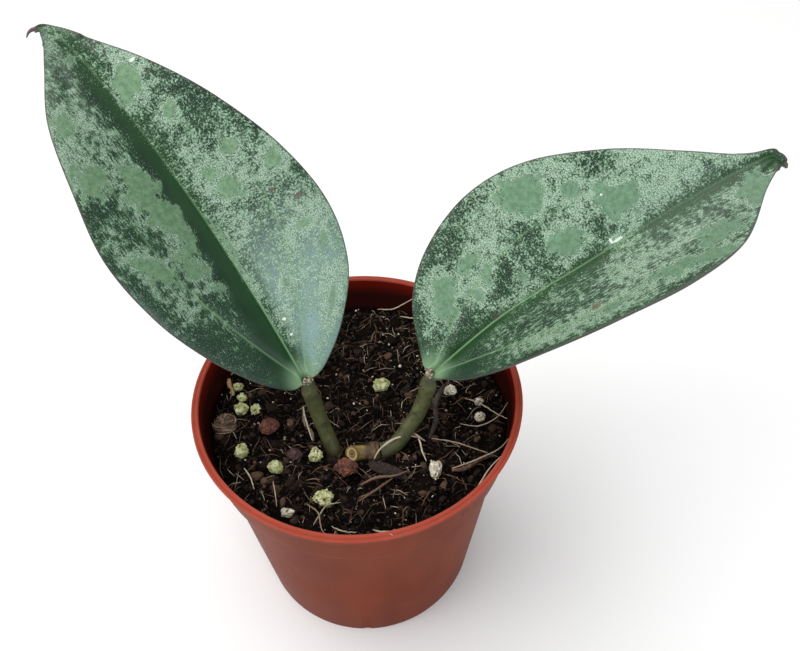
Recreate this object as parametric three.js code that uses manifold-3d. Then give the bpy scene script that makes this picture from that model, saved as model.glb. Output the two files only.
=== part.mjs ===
// A young hoya cutting with two splash-marked leaves, in a small plastic nursery pot.
// Millimetres, +Z up. The origin is the middle of the pot's underside.
// The plant leans towards -X and +X, and +Y is the pot's back.
import * as THREE from 'three';
import { mergeVertices } from 'three/addons/utils/BufferGeometryUtils.js';
import Module from 'manifold-3d';

const wasm = await Module();
wasm.setup();

// Driving dimensions of the pot.
const rimRadius = 45;
const potHeight = 80;
const rimBand = 2;
const rimLip = 0.8;
const wall = 1;
const collarHeight = 15;
const collarRadius = 42.1;
const shoulderRadius = 40.3;
const shoulderDrop = 2.5;
const baseRadius = 34.2;
const footWidth = 2.4;
const footHeight = 1.8;
const padRadius = 14;
const floorTop = 3;
const drainHoles = 8;
const drainHoleRadius = 3.6;
const drainCircleRadius = 23;
const footNotches = 4;
const notchRadius = 2.5;
const potSides = 48;

// Driving dimensions of the plant and what it grows in.
const gap = 0.35;
const soilLevel = 70;
const soilSides = 36;
const petioleRadius = 2.25;
const stemRadius = 2.1;
const nodeRadius = 2.8;
const rootRadius = 0.8;
const tubeSides = 10;
const midribThickness = 1.3;
const marginThickness = 0.8;
const leafRows = 16;
const leafColumns = 8;

// The widths of each half blade, at stations that crowd together at both ends.
// A half blade rises from the midrib at the first angle and ends at the second.
const leftLeaf = {
  midrib: [[-12.4, -6.5, 92.5], [-22.5, 2.5, 112.5], [-34, 12, 132.5], [-47.5, 23, 151],
    [-60, 32.5, 163.5], [-66, 35.5, 167], [-69, 35, 166.5]],
  side: [[0.78, 0.62, 0.1], [0.7, 0.7, 0.12], [0.62, 0.7, 0.35]],
  leftWidths: [3, 7, 13, 19.5, 24.5, 26, 22, 16.5, 8, 2, 0.4],
  rightWidths: [3, 8.5, 16.5, 24.5, 27.5, 25, 19, 11.5, 4.5, 1, 0.4],
  leftRise: [18, 8],
  rightRise: [18, 10],
};
const rightLeaf = {
  midrib: [[19.5, -4, 91.5], [37.5, 1, 108.5], [57, 4.5, 123], [77, 9.5, 136],
    [94, 14, 144.5], [99, 14.5, 144], [101.5, 13.5, 141]],
  side: [[0.5, -0.84, -0.22], [0.45, -0.86, -0.25], [0.25, -0.65, -0.7]],
  leftWidths: [1.5, 7.5, 17.5, 25, 29.5, 28, 20.5, 10.5, 2.5, 0.8, 0.4],
  rightWidths: [1.5, 4, 10.5, 16, 19, 20.5, 21, 17.5, 7, 1.5, 0.4],
  leftRise: [24, 22],
  rightRise: [20, 42],
};

// Routes of the stalks and the buried parts.
const leftPetioleRoute = [[-4.6, -14.2, 62], [-5.6, -13.6, 66], [-7, -12, 70.5], [-8.8, -9.6, 76],
  [-10.9, -7.4, 84], [-12.1, -6.6, 91.3]];
const rightPetioleRoute = [[7.6, -13, 70.4], [10.2, -12, 71.6], [13, -10.1, 74.6], [16.2, -7.8, 79.6],
  [18.3, -5.8, 85], [19.2, -4.7, 89.6]];
const stubRoute = [[-1.4, -13.9, 70.4], [1.4, -13.7, 70.2], [4.2, -13.4, 70]];
const buriedStemRoute = [[4.2, -13.4, 70], [4.4, -12.6, 63], [2.6, -10.6, 54], [0.6, -8, 46]];
const rootCrown = [0.4, -7.6, 44.6];
const rootTips = [[-24, -16, 30], [-14, 18, 22], [12, 22, 34], [26, -4, 26], [10, -26, 32], [-2, -2, 8]];

// Grains and chips: place, half sizes and turn about Z in degrees.
const paleGrains = [
  { at: [-35, 8.5, 71.4], half: [1.5, 1.3, 1.2], turn: 10 },
  { at: [-33.4, 4.6, 71.6], half: [1.6, 1.2, 1.2], turn: 40 },
  { at: [-33, 0.6, 71.5], half: [2, 1.8, 1.5], turn: 15 },
  { at: [-29, 0.4, 71.4], half: [1.7, 1.5, 1.3], turn: 75 },
  { at: [-31.4, -13.3, 71.5], half: [2, 1.9, 1.5], turn: 30 },
  { at: [-21.6, -18.6, 71.4], half: [2.1, 1.7, 1.5], turn: 0 },
  { at: [-11.2, -15.2, 71.6], half: [1.9, 2, 1.6], turn: 20 },
  { at: [-8.6, -28.2, 71.6], half: [2.6, 2.2, 1.7], turn: 5 },
  { at: [6.2, 8.5, 71.3], half: [2.5, 2, 1.6], turn: -30 },
  { at: [20.7, -20.2, 71.6], half: [1.6, 2.7, 1.7], turn: 8 },
  { at: [33.8, -3.3, 71.4], half: [1.7, 1.4, 1.2], turn: 25 },
  { at: [33.9, 2, 71.3], half: [1.3, 1.1, 1], turn: 60 },
  { at: [26.1, 6, 71.4], half: [1.9, 1.5, 1.3], turn: -15 },
  { at: [-17.7, -32.1, 71.3], half: [1.7, 1.2, 1.1], turn: -10 },
];
const barkChips = [
  { at: [-37, -4.4, 71.4], half: [2.8, 2.6, 1.9], turn: 0 },
  { at: [-24.8, -5.3, 71.5], half: [2.9, 2.3, 1.7], turn: 20 },
  { at: [-17, -14.5, 71.3], half: [2.2, 1.8, 1.4], turn: -20 },
  { at: [-3, -18.9, 71.4], half: [3.2, 2.4, 1.6], turn: -12 },
  { at: [7.8, -19.6, 70.7], half: [5.6, 1.7, 0.9], turn: -22 },
];
const twigs = [
  { from: [24.2, 5.4, 75], to: [19.4, -9.6, 70.4], radius: 0.7 },
  { from: [-15.6, -0.6, 71.6], to: [-12.2, -10.4, 71.2], radius: 0.45 },
  { from: [-37.6, 10.4, 73], to: [-36, 5.4, 71.4], radius: 0.6 },
  { from: [25, -20.6, 71.4], to: [36.4, -16.4, 72], radius: 0.6 },
];

function finish(color, roughness) {
  return new THREE.MeshStandardMaterial({ color, roughness, metalness: 0 });
}

// The height of the soil's rough surface at a place, before anything is set in it.
function soilHeight(x, y) {
  const swell = 0.5 * Math.sin(x / 7 + 1) * Math.cos(y / 6) + 0.35 * Math.sin((x + 2 * y) / 5);
  const hollow = 2.2 * Math.exp(-((x + 1) ** 2 + (y + 5) ** 2) / 70);
  const edge = 1.2 * Math.exp((Math.hypot(x, y) - 41) / 3);
  return soilLevel + swell - hollow - edge;
}

function toSolid(geometry) {
  const bare = geometry.clone();
  bare.deleteAttribute('normal');
  bare.deleteAttribute('uv');
  const merged = mergeVertices(bare, 1e-4);
  const vertProperties = new Float32Array(merged.attributes.position.array);
  const triVerts = new Uint32Array(merged.index.array);
  return new wasm.Manifold(new wasm.Mesh({ numProp: 3, vertProperties, triVerts }));
}

function toGeometry(solid) {
  const mesh = solid.getMesh();
  const geometry = new THREE.BufferGeometry();
  geometry.setAttribute('position', new THREE.BufferAttribute(mesh.vertProperties, 3));
  geometry.setIndex(new THREE.BufferAttribute(mesh.triVerts, 1));
  geometry.computeVertexNormals();
  return geometry;
}

function lathe(profile, sides) {
  const points = profile.map(([radius, height]) => new THREE.Vector2(radius, height));
  return new THREE.LatheGeometry(points, sides).rotateX(Math.PI / 2);
}

function tube(route, radius, sides = tubeSides, steps = 10) {
  const section = new THREE.Shape();
  for (let i = 0; i < sides; i += 1) {
    const angle = (2 * Math.PI * i) / sides;
    const point = [radius * Math.cos(angle), radius * Math.sin(angle)];
    if (i === 0) section.moveTo(...point);
    else section.lineTo(...point);
  }
  section.closePath();
  const path = new THREE.CatmullRomCurve3(route.map((point) => new THREE.Vector3(...point)));
  return new THREE.ExtrudeGeometry(section, { steps, bevelEnabled: false, extrudePath: path });
}

function ball(centre, radius) {
  return new THREE.IcosahedronGeometry(radius, 1).translate(...centre);
}

function grain({ at, half, turn }, extra = 0) {
  const shape = new THREE.IcosahedronGeometry(1, 1);
  shape.scale(half[0] + extra, half[1] + extra, half[2] + extra);
  shape.rotateZ(THREE.MathUtils.degToRad(turn));
  return shape.translate(...at);
}

function twig({ from, to, radius }, extra = 0) {
  const run = new THREE.Vector3(...to).sub(new THREE.Vector3(...from)).normalize();
  const start = new THREE.Vector3(...from).addScaledVector(run, -extra);
  const end = new THREE.Vector3(...to).addScaledVector(run, extra);
  return tube([start.toArray(), end.toArray()], radius + extra, 6, 1);
}

// The pot's inner wall: straight taper, shoulder, then the collar.
const shoulderZ = potHeight - collarHeight;
const innerProfile = [
  [baseRadius - wall + 0.2, floorTop],
  [shoulderRadius - wall, shoulderZ - shoulderDrop],
  [collarRadius - wall, shoulderZ],
  [rimRadius - rimBand, potHeight],
];

function potOutline() {
  const padEdge = padRadius + 1.4;
  const footInner = baseRadius - 0.8 - footWidth;
  return [
    [0, 0], [padRadius, 0], [padEdge, footHeight], [footInner - 1, footHeight], [footInner, 0],
    [baseRadius - 0.8, 0], [baseRadius, 0.8], [shoulderRadius, shoulderZ - shoulderDrop],
    [collarRadius, shoulderZ], [rimRadius - 0.7, potHeight - rimLip - 0.4], [rimRadius, potHeight - rimLip],
    [rimRadius, potHeight - 0.3], [rimRadius - 0.4, potHeight],
    ...innerProfile.toReversed(), [0, floorTop],
  ];
}

function pot() {
  let body = toSolid(lathe(potOutline(), potSides));
  for (let i = 0; i < drainHoles; i += 1) {
    const angle = (2 * Math.PI * (i + 0.5)) / drainHoles;
    const hole = new THREE.CylinderGeometry(drainHoleRadius, drainHoleRadius, 8, 16).rotateX(Math.PI / 2);
    hole.translate(drainCircleRadius * Math.cos(angle), drainCircleRadius * Math.sin(angle), floorTop);
    body = body.subtract(toSolid(hole));
  }
  for (let i = 0; i < footNotches; i += 1) {
    const notch = new THREE.CylinderGeometry(notchRadius, notchRadius, 8, 12).rotateZ(Math.PI / 2);
    notch.scale(1, 1, 0.6);
    notch.translate(baseRadius - 2, 0, 0);
    notch.rotateZ((2 * Math.PI * i) / footNotches);
    body = body.subtract(toSolid(notch));
  }
  return toGeometry(body);
}

function stemSolid(extra = 0) {
  const stub = toSolid(tube(stubRoute, stemRadius + extra, tubeSides, 2));
  const buried = toSolid(tube(buriedStemRoute, stemRadius + extra, tubeSides, 6));
  return stub.add(buried).add(toSolid(ball(buriedStemRoute[0], nodeRadius + extra)));
}

function rootSolid(extra = 0) {
  let roots = toSolid(ball(rootCrown, 1.5 * rootRadius + extra).translate(0, 0, -1.6));
  for (const tip of rootTips) {
    const crown = [rootCrown[0], rootCrown[1], rootCrown[2] - 1.6];
    const droop = [0.5 * (tip[0] + crown[0]), 0.5 * (tip[1] + crown[1]), 0.55 * crown[2] + 0.45 * tip[2]];
    roots = roots.add(toSolid(tube([crown, droop, tip], rootRadius + extra, 6, 4)));
  }
  return roots;
}

// The soil fills the pot to its level, with room left round everything that is set in it.
function soil() {
  const side = innerProfile.slice(0, 3).map(([radius, z]) => [radius - gap, z]);
  const taper = (innerProfile[3][0] - innerProfile[2][0]) / collarHeight;
  const topRadius = innerProfile[2][0] + taper * (soilLevel - shoulderZ) - gap;
  const rings = [1, 0.86, 0.72, 0.58, 0.44, 0.3, 0.16].map((part) => [part * topRadius, soilLevel]);
  const bottom = [[0, floorTop + gap], [side[0][0], floorTop + gap]];
  const outline = [...bottom, ...side.slice(1), ...rings, [0, soilLevel]];
  const shape = lathe(outline, soilSides);
  const position = shape.attributes.position;
  for (let i = 0; i < position.count; i += 1) {
    if (position.getZ(i) > soilLevel - 0.01) position.setZ(i, soilHeight(position.getX(i), position.getY(i)));
  }
  let bed = toSolid(shape).subtract(stemSolid(gap)).subtract(rootSolid(gap));
  bed = bed.subtract(toSolid(tube(leftPetioleRoute, petioleRadius + gap, tubeSides, 8)));
  bed = bed.subtract(toSolid(ball(leftPetioleRoute[0], petioleRadius + 2 * gap)));
  bed = bed.subtract(toSolid(ball(buriedStemRoute.at(-1), nodeRadius)));
  bed = bed.subtract(toSolid(tube(rightPetioleRoute, petioleRadius + gap, tubeSides, 8)));
  for (const piece of [...paleGrains, ...barkChips]) bed = bed.subtract(toSolid(grain(piece, gap)));
  for (const piece of twigs) bed = bed.subtract(toSolid(twig(piece, gap)));
  return toGeometry(bed);
}

// A half width at a place along the blade, from 0 at the stalk to 1 at the tip.
function halfWidth(widths, along) {
  const curve = new THREE.SplineCurve(widths.map((width, i) => new THREE.Vector2(i, width)));
  const station = Math.acos(1 - 2 * along) / Math.PI;
  return curve.getPoint(station).y;
}

function leafPoint(leaf, midrib, along, across, above) {
  const middle = midrib.getPointAt(along);
  const tangent = midrib.getTangentAt(along);
  const [near, mid, far] = leaf.side.map((direction) => new THREE.Vector3(...direction));
  const side = near.multiplyScalar((1 - along) ** 2);
  side.addScaledVector(mid, 2 * along * (1 - along)).addScaledVector(far, along ** 2);
  side.addScaledVector(tangent, -side.dot(tangent)).normalize();
  const up = new THREE.Vector3().crossVectors(side, tangent);
  const sign = across < 0 ? -1 : 1;
  const width = halfWidth(across < 0 ? leaf.leftWidths : leaf.rightWidths, along);
  const rise = (across < 0 ? leaf.leftRise : leaf.rightRise).map(THREE.MathUtils.degToRad);
  const part = Math.abs(across);
  const angle = rise[0] + (rise[1] - rise[0]) * part;
  const turn = rise[1] - rise[0];
  const out = (width * (Math.sin(angle) - Math.sin(rise[0]))) / turn;
  const lift = (width * (Math.cos(rise[0]) - Math.cos(angle))) / turn;
  const thickness = midribThickness + (marginThickness - midribThickness) * part;
  const lean = part < 0.01 ? 0 : Math.sin(angle);
  return middle.addScaledVector(side, sign * (out - lean * thickness * above))
    .addScaledVector(up, lift + Math.cos(angle) * thickness * above);
}

// The blade starts as a flat block, two half blades wide, and each vertex is moved to its place.
function leaf(shape) {
  const blade = new THREE.BoxGeometry(2, 1, 1, leafColumns, leafRows, 1);
  const midrib = new THREE.CatmullRomCurve3(shape.midrib.map((point) => new THREE.Vector3(...point)));
  const position = blade.attributes.position;
  for (let i = 0; i < position.count; i += 1) {
    const along = 0.5 * (1 - Math.cos(Math.PI * (position.getY(i) + 0.5)));
    const point = leafPoint(shape, midrib, along, position.getX(i), position.getZ(i) - 0.5);
    position.setXYZ(i, point.x, point.y, point.z);
  }
  return toGeometry(toSolid(blade));
}

const plant = new THREE.Group();

function addPiece(name, geometry, material) {
  const piece = new THREE.Mesh(geometry, material);
  piece.name = name;
  plant.add(piece);
}

function addNumbered(name, pieces, shape, material) {
  pieces.forEach((piece, i) => {
    const number = String(i + 1).padStart(2, '0');
    addPiece(`${name}_${number}`, toGeometry(toSolid(shape(piece))), material);
  });
}

addPiece('pot', pot(), finish(0x96503e, 0.42));
addPiece('soil', soil(), finish(0x1c1512, 0.95));
addPiece('stem', toGeometry(stemSolid()), finish(0x6b5a34, 0.6));
addPiece('roots', toGeometry(rootSolid()), finish(0xb8a07c, 0.8));
addPiece('left_petiole', toGeometry(toSolid(tube(leftPetioleRoute, petioleRadius))), finish(0x5c6b38, 0.5));
addPiece('right_petiole', toGeometry(toSolid(tube(rightPetioleRoute, petioleRadius))), finish(0x5c6b38, 0.5));
addPiece('left_leaf', leaf(leftLeaf), finish(0x2f5a3c, 0.35));
addPiece('right_leaf', leaf(rightLeaf), finish(0x2f5a3c, 0.35));
addNumbered('perlite', paleGrains, grain, finish(0xd8dcae, 0.85));
addNumbered('bark_chip', barkChips, grain, finish(0x5a3228, 0.9));
addNumbered('twig', twigs, twig, finish(0x7a5c3a, 0.85));

export default plant;
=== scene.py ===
# %% [markdown]
# # A young hoya in a nursery pot
#
# A hoya cutting with two big splash-marked leaves stands in a thin round plastic pot of dark
# potting mix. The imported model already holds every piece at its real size, as plain solids.
# This lesson keeps that frame and gives each piece its grown or moulded surface.
# %% Load the frame
import math
import random

import bpy
import numpy as np
from mathutils import Matrix, Vector, noise


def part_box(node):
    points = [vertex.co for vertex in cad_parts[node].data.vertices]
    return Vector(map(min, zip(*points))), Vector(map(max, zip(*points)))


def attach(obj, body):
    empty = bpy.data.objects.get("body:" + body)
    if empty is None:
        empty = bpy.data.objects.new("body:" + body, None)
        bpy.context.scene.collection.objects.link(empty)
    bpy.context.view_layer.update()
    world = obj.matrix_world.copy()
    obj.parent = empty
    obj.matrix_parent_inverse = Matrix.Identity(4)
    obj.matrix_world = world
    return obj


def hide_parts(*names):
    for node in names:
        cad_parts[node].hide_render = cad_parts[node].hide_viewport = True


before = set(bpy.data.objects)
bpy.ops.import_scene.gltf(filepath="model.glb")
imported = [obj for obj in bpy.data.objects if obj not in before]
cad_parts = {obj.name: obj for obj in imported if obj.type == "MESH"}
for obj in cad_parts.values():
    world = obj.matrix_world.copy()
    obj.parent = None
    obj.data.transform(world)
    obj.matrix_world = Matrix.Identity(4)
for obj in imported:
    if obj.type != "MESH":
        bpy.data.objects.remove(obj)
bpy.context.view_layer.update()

MM = 0.001
print("nodes in the frame:", len(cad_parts))

# %% [markdown]
# ## Working by hand, in code
#
# Blender's tools act on whatever is selected, and loading the frame leaves its nodes selected.
# So each piece is picked alone first. The last helper is what every finished piece goes through:
# it takes its material, rides on the plant's only body and hides the plain node it stands for.
# %% Helpers for pieces
def pick(piece):
    bpy.ops.object.select_all(action="DESELECT")
    piece.select_set(True)
    bpy.context.view_layer.objects.active = piece


def new_piece(name, points, faces, edges=()):
    mesh = bpy.data.meshes.new(name)
    mesh.from_pydata([tuple(point) for point in points], edges, faces)
    mesh.update()
    piece = bpy.data.objects.new(name, mesh)
    bpy.context.scene.collection.objects.link(piece)
    pick(piece)
    return piece


def in_edit_mode(piece, *steps):
    pick(piece)
    bpy.ops.object.mode_set(mode="EDIT")
    bpy.ops.mesh.select_all(action="SELECT")
    for step in steps:
        step()
    bpy.ops.object.mode_set(mode="OBJECT")


def apply_modifier(piece, kind, **settings):
    pick(piece)
    modifier = piece.modifiers.new(kind.lower(), kind)
    for setting, value in settings.items():
        setattr(modifier, setting, value)
    bpy.ops.object.modifier_apply(modifier=modifier.name)


def points_of(piece):
    flat = np.empty(len(piece.data.vertices) * 3)
    piece.data.vertices.foreach_get("co", flat)
    return flat.reshape(-1, 3)


def move_points(piece, points):
    piece.data.vertices.foreach_set("co", np.asarray(points, float).ravel())
    piece.data.update()


def store(piece, name, values):
    attribute = piece.data.attributes.new(name, "FLOAT", "POINT")
    attribute.data.foreach_set("value", np.asarray(values, np.float32))


def complete(piece, finishes, nodes=()):
    pick(piece)
    bpy.ops.object.shade_smooth()
    for finish in finishes:
        piece.data.materials.append(finish)
    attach(piece, "root")
    if nodes:
        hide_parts(*nodes)
    print(piece.name, len(piece.data.polygons), "faces")


def lumps(points, size, seed, detail=1):
    """Smooth random heights, about -1 to 1, that change over the given size."""
    shift = Vector((seed * 7.31, seed * 3.17, seed * 5.53))
    heights = np.zeros(len(points))
    for octave in range(detail):
        finer = 2.0 ** octave
        scale = finer / size
        part = [noise.noise(Vector(point) * scale + shift * finer) for point in points]
        heights += np.array(part) / finer
    return 1.6 * heights


# %% [markdown]
# ## Materials as sums
#
# A material is a chain of nodes, which is hard to read as clicks. Here a wire carries Python's
# own signs, so a mask is written as arithmetic. `Finish` starts one material, and its `node`
# makes any node from its kind, its settings and its inputs.
# %% Wires and finishes
class Wire:
    """An output of a node that Python's arithmetic works on."""

    def __init__(self, finish, socket):
        self.finish = finish
        self.socket = socket

    def maths(self, operation, *inputs):
        return self.finish.node("ShaderNodeMath", {"operation": operation}, inputs)

    def __add__(self, other):
        return self.maths("ADD", self, other)

    def __radd__(self, other):
        return self.maths("ADD", other, self)

    def __sub__(self, other):
        return self.maths("SUBTRACT", self, other)

    def __rsub__(self, other):
        return self.maths("SUBTRACT", other, self)

    def __mul__(self, other):
        return self.maths("MULTIPLY", self, other)

    def __rmul__(self, other):
        return self.maths("MULTIPLY", other, self)

    def __truediv__(self, other):
        return self.maths("DIVIDE", self, other)

    def __abs__(self):
        return self.maths("ABSOLUTE", self)

    def most(self, other):
        return self.maths("MAXIMUM", self, other)

    def rise(self, low, high):
        """0 below low, 1 above high and a smooth step between."""
        settings = {"interpolation_type": "SMOOTHSTEP"}
        return self.finish.node("ShaderNodeMapRange", settings, [self, low, high, 0.0, 1.0])


class Finish:
    """One material, with its Principled shader."""

    def __init__(self, name, **shader):
        self.material = bpy.data.materials.new(name)
        self.material.use_nodes = True
        self.tree = self.material.node_tree
        self.shader = self.tree.nodes["Principled BSDF"]
        for socket, value in shader.items():
            self.shader.inputs[socket.replace("_", " ")].default_value = value

    def node(self, kind, settings, inputs, output=0):
        made = self.tree.nodes.new(kind)
        for setting, value in settings.items():
            setattr(made, setting, value)
        pairs = inputs.items() if isinstance(inputs, dict) else enumerate(inputs)
        for socket, value in pairs:
            if isinstance(value, Wire):
                self.tree.links.new(value.socket, made.inputs[socket])
            else:
                made.inputs[socket].default_value = value
        return Wire(self, made.outputs[output])

    def place(self):
        return self.node("ShaderNodeTexCoord", {}, {}, "Object")

    def attribute(self, name):
        return self.node("ShaderNodeAttribute", {"attribute_name": name}, {}, "Fac")

    def axes(self, vector):
        split = self.node("ShaderNodeSeparateXYZ", {}, [vector])
        return [Wire(self, split.socket.node.outputs[i]) for i in range(3)]

    def vector(self, *parts):
        return self.node("ShaderNodeCombineXYZ", {}, parts)

    def stretch(self, vector, factors):
        return self.node("ShaderNodeVectorMath", {"operation": "MULTIPLY"}, [vector, factors])

    def distance(self, vector, point):
        return self.node("ShaderNodeVectorMath", {"operation": "DISTANCE"}, [vector, point], "Value")

    def noise(self, vector, scale, detail=2.0, roughness=0.5):
        inputs = {"Vector": vector, "Scale": scale, "Detail": detail, "Roughness": roughness}
        return self.node("ShaderNodeTexNoise", {}, inputs)

    def cells(self, vector, scale, feature="F1"):
        settings = {"feature": feature}
        return self.node("ShaderNodeTexVoronoi", settings, {"Vector": vector, "Scale": scale})

    def mix(self, factor, first, second):
        inputs = {0: factor, 6: first, 7: second}
        return self.node("ShaderNodeMix", {"data_type": "RGBA"}, inputs, 2)

    def feed(self, socket, wire):
        self.tree.links.new(wire.socket, self.shader.inputs[socket])

    def bump(self, height, depth, strength=1.0):
        inputs = {"Strength": strength, "Distance": depth, "Height": height}
        self.feed("Normal", self.node("ShaderNodeBump", {}, inputs))


def colour(red, green, blue):
    """A colour given in the 0 to 255 steps of a screen, as the linear value that a socket takes."""
    parts = [value / 255 for value in (red, green, blue)]
    linear = [p / 12.92 if p <= 0.04045 else ((p + 0.055) / 1.055) ** 2.4 for p in parts]
    return (*linear, 1.0)


print("finish helpers ready")

# %% [markdown]
# ## Camera, floor and light
#
# The plant is looked at from in front and well above, about 48 degrees down, from 0.3 m away.
# The camera is turned by three directions rather than by angles, so each can be read off.
# The light is a bright overcast day: a pale sky all round, a large soft panel overhead, and a
# window low in front, whose reflection adds to the bluish sheen painted on the left leaf.
# %% Camera
def add_camera():
    data = bpy.data.cameras.new("camera")
    data.sensor_width = 36.0
    data.lens = 36.6
    camera = bpy.data.objects.new("camera", data)
    right = Vector((0.99986, -0.01242, -0.01120))
    up = Vector((0.01672, 0.7424, 0.6697))
    back = right.cross(up)
    turn = Matrix((right, up, back)).transposed().to_4x4()
    camera.matrix_world = Matrix.Translation((0.01193, -0.1358, 0.2567)) @ turn
    bpy.context.scene.collection.objects.link(camera)
    bpy.context.scene.camera = camera


add_camera()
bpy.context.scene.view_settings.view_transform = "Standard"


# %% Floor and lights
def floor_finish():
    finish = Finish("pale_floor", Roughness=0.9)
    patches = finish.noise(finish.place(), 3.0)
    finish.feed("Base Color", finish.mix(patches, colour(246, 246, 247), colour(250, 250, 250)))
    return finish.material


def add_light(name, place, target, size, power, tint):
    data = bpy.data.lights.new(name, "AREA")
    data.shape = "RECTANGLE"
    data.size, data.size_y = size
    data.energy = power
    data.color = tint
    light = bpy.data.objects.new(name, data)
    aim = Vector(target) - Vector(place)
    turn = aim.to_track_quat("-Z", "Y").to_matrix().to_4x4()
    light.matrix_world = Matrix.Translation(place) @ turn
    bpy.context.scene.collection.objects.link(light)


bpy.ops.object.select_all(action="DESELECT")
bpy.ops.mesh.primitive_plane_add(size=6.0, location=(0, 0, 0))
floor = bpy.context.active_object
floor.name = "floor"
floor.data.materials.append(floor_finish())

plant_middle = (0.0, 0.0, 0.1)
add_light("overcast", (-0.5, 0.1, 1.6), plant_middle, (1.8, 1.8), 26.0, (1.0, 0.99, 0.97))
add_light("window", (0.58, -1.05, 0.5), (0.0, 0.0, 0.12), (0.6, 0.42), 4.5, (0.84, 0.94, 1.0))
add_light("left_wall", (-1.2, -0.5, 0.4), plant_middle, (0.9, 0.9), 5.0, (1.0, 0.98, 0.96))

sky = bpy.data.worlds.new("sky")
sky.use_nodes = True
sky.node_tree.nodes["Background"].inputs["Color"].default_value = (1.0, 1.0, 1.0, 1.0)
sky.node_tree.nodes["Background"].inputs["Strength"].default_value = 0.42
bpy.context.scene.world = sky
print("stage set")

# %% [markdown]
# ## The pot
#
# The pot is one thin moulding. Its wall could be a solidified cylinder, but the rim has a flat
# band and a fine outer lip, the collar has a step and the underside a foot ring, so its whole
# outline is drawn once and spun round the axis. Drain holes and foot notches are cut afterwards.
# %% The pot's outline
rim_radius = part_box("pot")[1].x
pot_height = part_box("pot")[1].z
shoulder_z = pot_height - 15 * MM
foot_height = 1.8 * MM
floor_top = 3 * MM
pot_steps = 256


def arc(centre, radius, start, end, steps=5):
    angles = np.radians(np.linspace(start, end, steps))
    return [(centre[0] + radius * math.cos(a), centre[1] + radius * math.sin(a)) for a in angles]


def pot_outline():
    mm = MM
    lip = arc((rim_radius - 0.42 * mm, pot_height - 0.62 * mm), 0.42 * mm, -80, 110, 9)
    band = arc((rim_radius - 1.55 * mm, pot_height - 0.3 * mm), 0.45 * mm, 120, 160, 4)
    outside = [
        (0, 0), (13.6 * mm, 0), (14.2 * mm, 0.2 * mm), (15.2 * mm, 1.6 * mm),
        (15.8 * mm, foot_height), (29.6 * mm, foot_height), (30.2 * mm, 1.6 * mm),
        (30.8 * mm, 0.3 * mm), (31.2 * mm, 0), (33.2 * mm, 0),
        *arc((33.3 * mm, 0.8 * mm), 0.8 * mm, -80, -5),
        (37.2 * mm, 31.6 * mm), (40.1 * mm, shoulder_z - 3.2 * mm),
        (40.4 * mm, shoulder_z - 2.4 * mm), (41.7 * mm, shoulder_z - 0.6 * mm),
        (42.05 * mm, shoulder_z + 0.1 * mm), (42.25 * mm, shoulder_z + 1.2 * mm),
        (43.6 * mm, pot_height - 5 * mm), (44.2 * mm, pot_height - 1.5 * mm),
        (44.4 * mm, pot_height - 1.15 * mm),
    ]
    top = [
        (rim_radius - 0.78 * mm, pot_height - 0.32 * mm), (rim_radius - 0.95 * mm, pot_height - 0.36 * mm),
        (rim_radius - 1.1 * mm, pot_height - 0.12 * mm), (rim_radius - 1.3 * mm, pot_height),
        *band, (rim_radius - 2.05 * mm, pot_height - 0.5 * mm),
    ]
    inside = [
        (42.75 * mm, pot_height - 3 * mm), (41.15 * mm, shoulder_z + 0.4 * mm),
        (40.8 * mm, shoulder_z - 0.5 * mm), (39.4 * mm, shoulder_z - 2.4 * mm),
        (33.6 * mm, 4.4 * mm), (33.2 * mm, 3.4 * mm), (32.4 * mm, floor_top), (0, floor_top),
    ]
    return outside + lip + top + inside


def spin_outline(name, outline, steps):
    points = [(x, 0, z) for x, z in outline]
    edges = [(i, i + 1) for i in range(len(points) - 1)]
    piece = new_piece(name, points, [], edges)
    in_edit_mode(
        piece,
        lambda: bpy.ops.mesh.spin(steps=steps, angle=2 * math.pi, center=(0, 0, 0), axis=(0, 0, 1)),
        lambda: bpy.ops.mesh.select_all(action="SELECT"),
        lambda: bpy.ops.mesh.remove_doubles(threshold=0.01 * MM),
        lambda: bpy.ops.mesh.normals_make_consistent(inside=False),
    )
    return piece


pot = spin_outline("pot_moulding", pot_outline(), pot_steps)
print("pot turned:", len(pot.data.polygons), "faces")


# %% [markdown]
# ## Drain holes and notches
#
# Water leaves through a ring of round holes and runs out under the foot ring through four
# notches. Each is a cutter that a Boolean modifier takes away.
# %% Cut the holes
def cut_away(piece, cutter):
    apply_modifier(piece, "BOOLEAN", object=cutter, operation="DIFFERENCE", solver="EXACT")
    bpy.data.objects.remove(cutter)


drain_holes, drain_ring, drain_radius = 8, 23 * MM, 3.6 * MM
foot_notches, foot_ring, notch_radius = 4, 32.2 * MM, 1.5 * MM


def cutter_at(ring, angle, height, turn, radius, depth):
    place = (ring * math.cos(angle), ring * math.sin(angle), height)
    bpy.ops.mesh.primitive_cylinder_add(
        vertices=48, radius=radius, depth=depth, location=place, rotation=turn
    )
    return bpy.context.active_object


def drain_cutters():
    for i in range(drain_holes):
        angle = 2 * math.pi * (i + 0.5) / drain_holes
        yield cutter_at(drain_ring, angle, floor_top, (0, 0, 0), drain_radius, 8 * MM)
    for i in range(foot_notches):
        angle = 2 * math.pi * i / foot_notches
        yield cutter_at(foot_ring, angle, 0, (0, math.pi / 2, angle), notch_radius, 6 * MM)


for cutter in drain_cutters():
    cut_away(pot, cutter)
print("pot after cutting:", len(pot.data.polygons), "faces")


# %% [markdown]
# ## Satin plastic
#
# The plastic is a brick brown with soft streaks where it flowed up the mould. Light through the
# rim's thin edge is painted in as a salmon colour, and the inside has painted shade: a deeper
# red, near black towards the soil. Handling has left a few pale flecks, a scuffed ring on the
# right of the wall and a V scratch under the rim.
# %% Pot finish
def dark_ring(finish, place, centre, radius, width):
    away = finish.distance(place, centre)
    return 1.0 - abs(away - radius).rise(0.3 * width, width)


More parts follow.
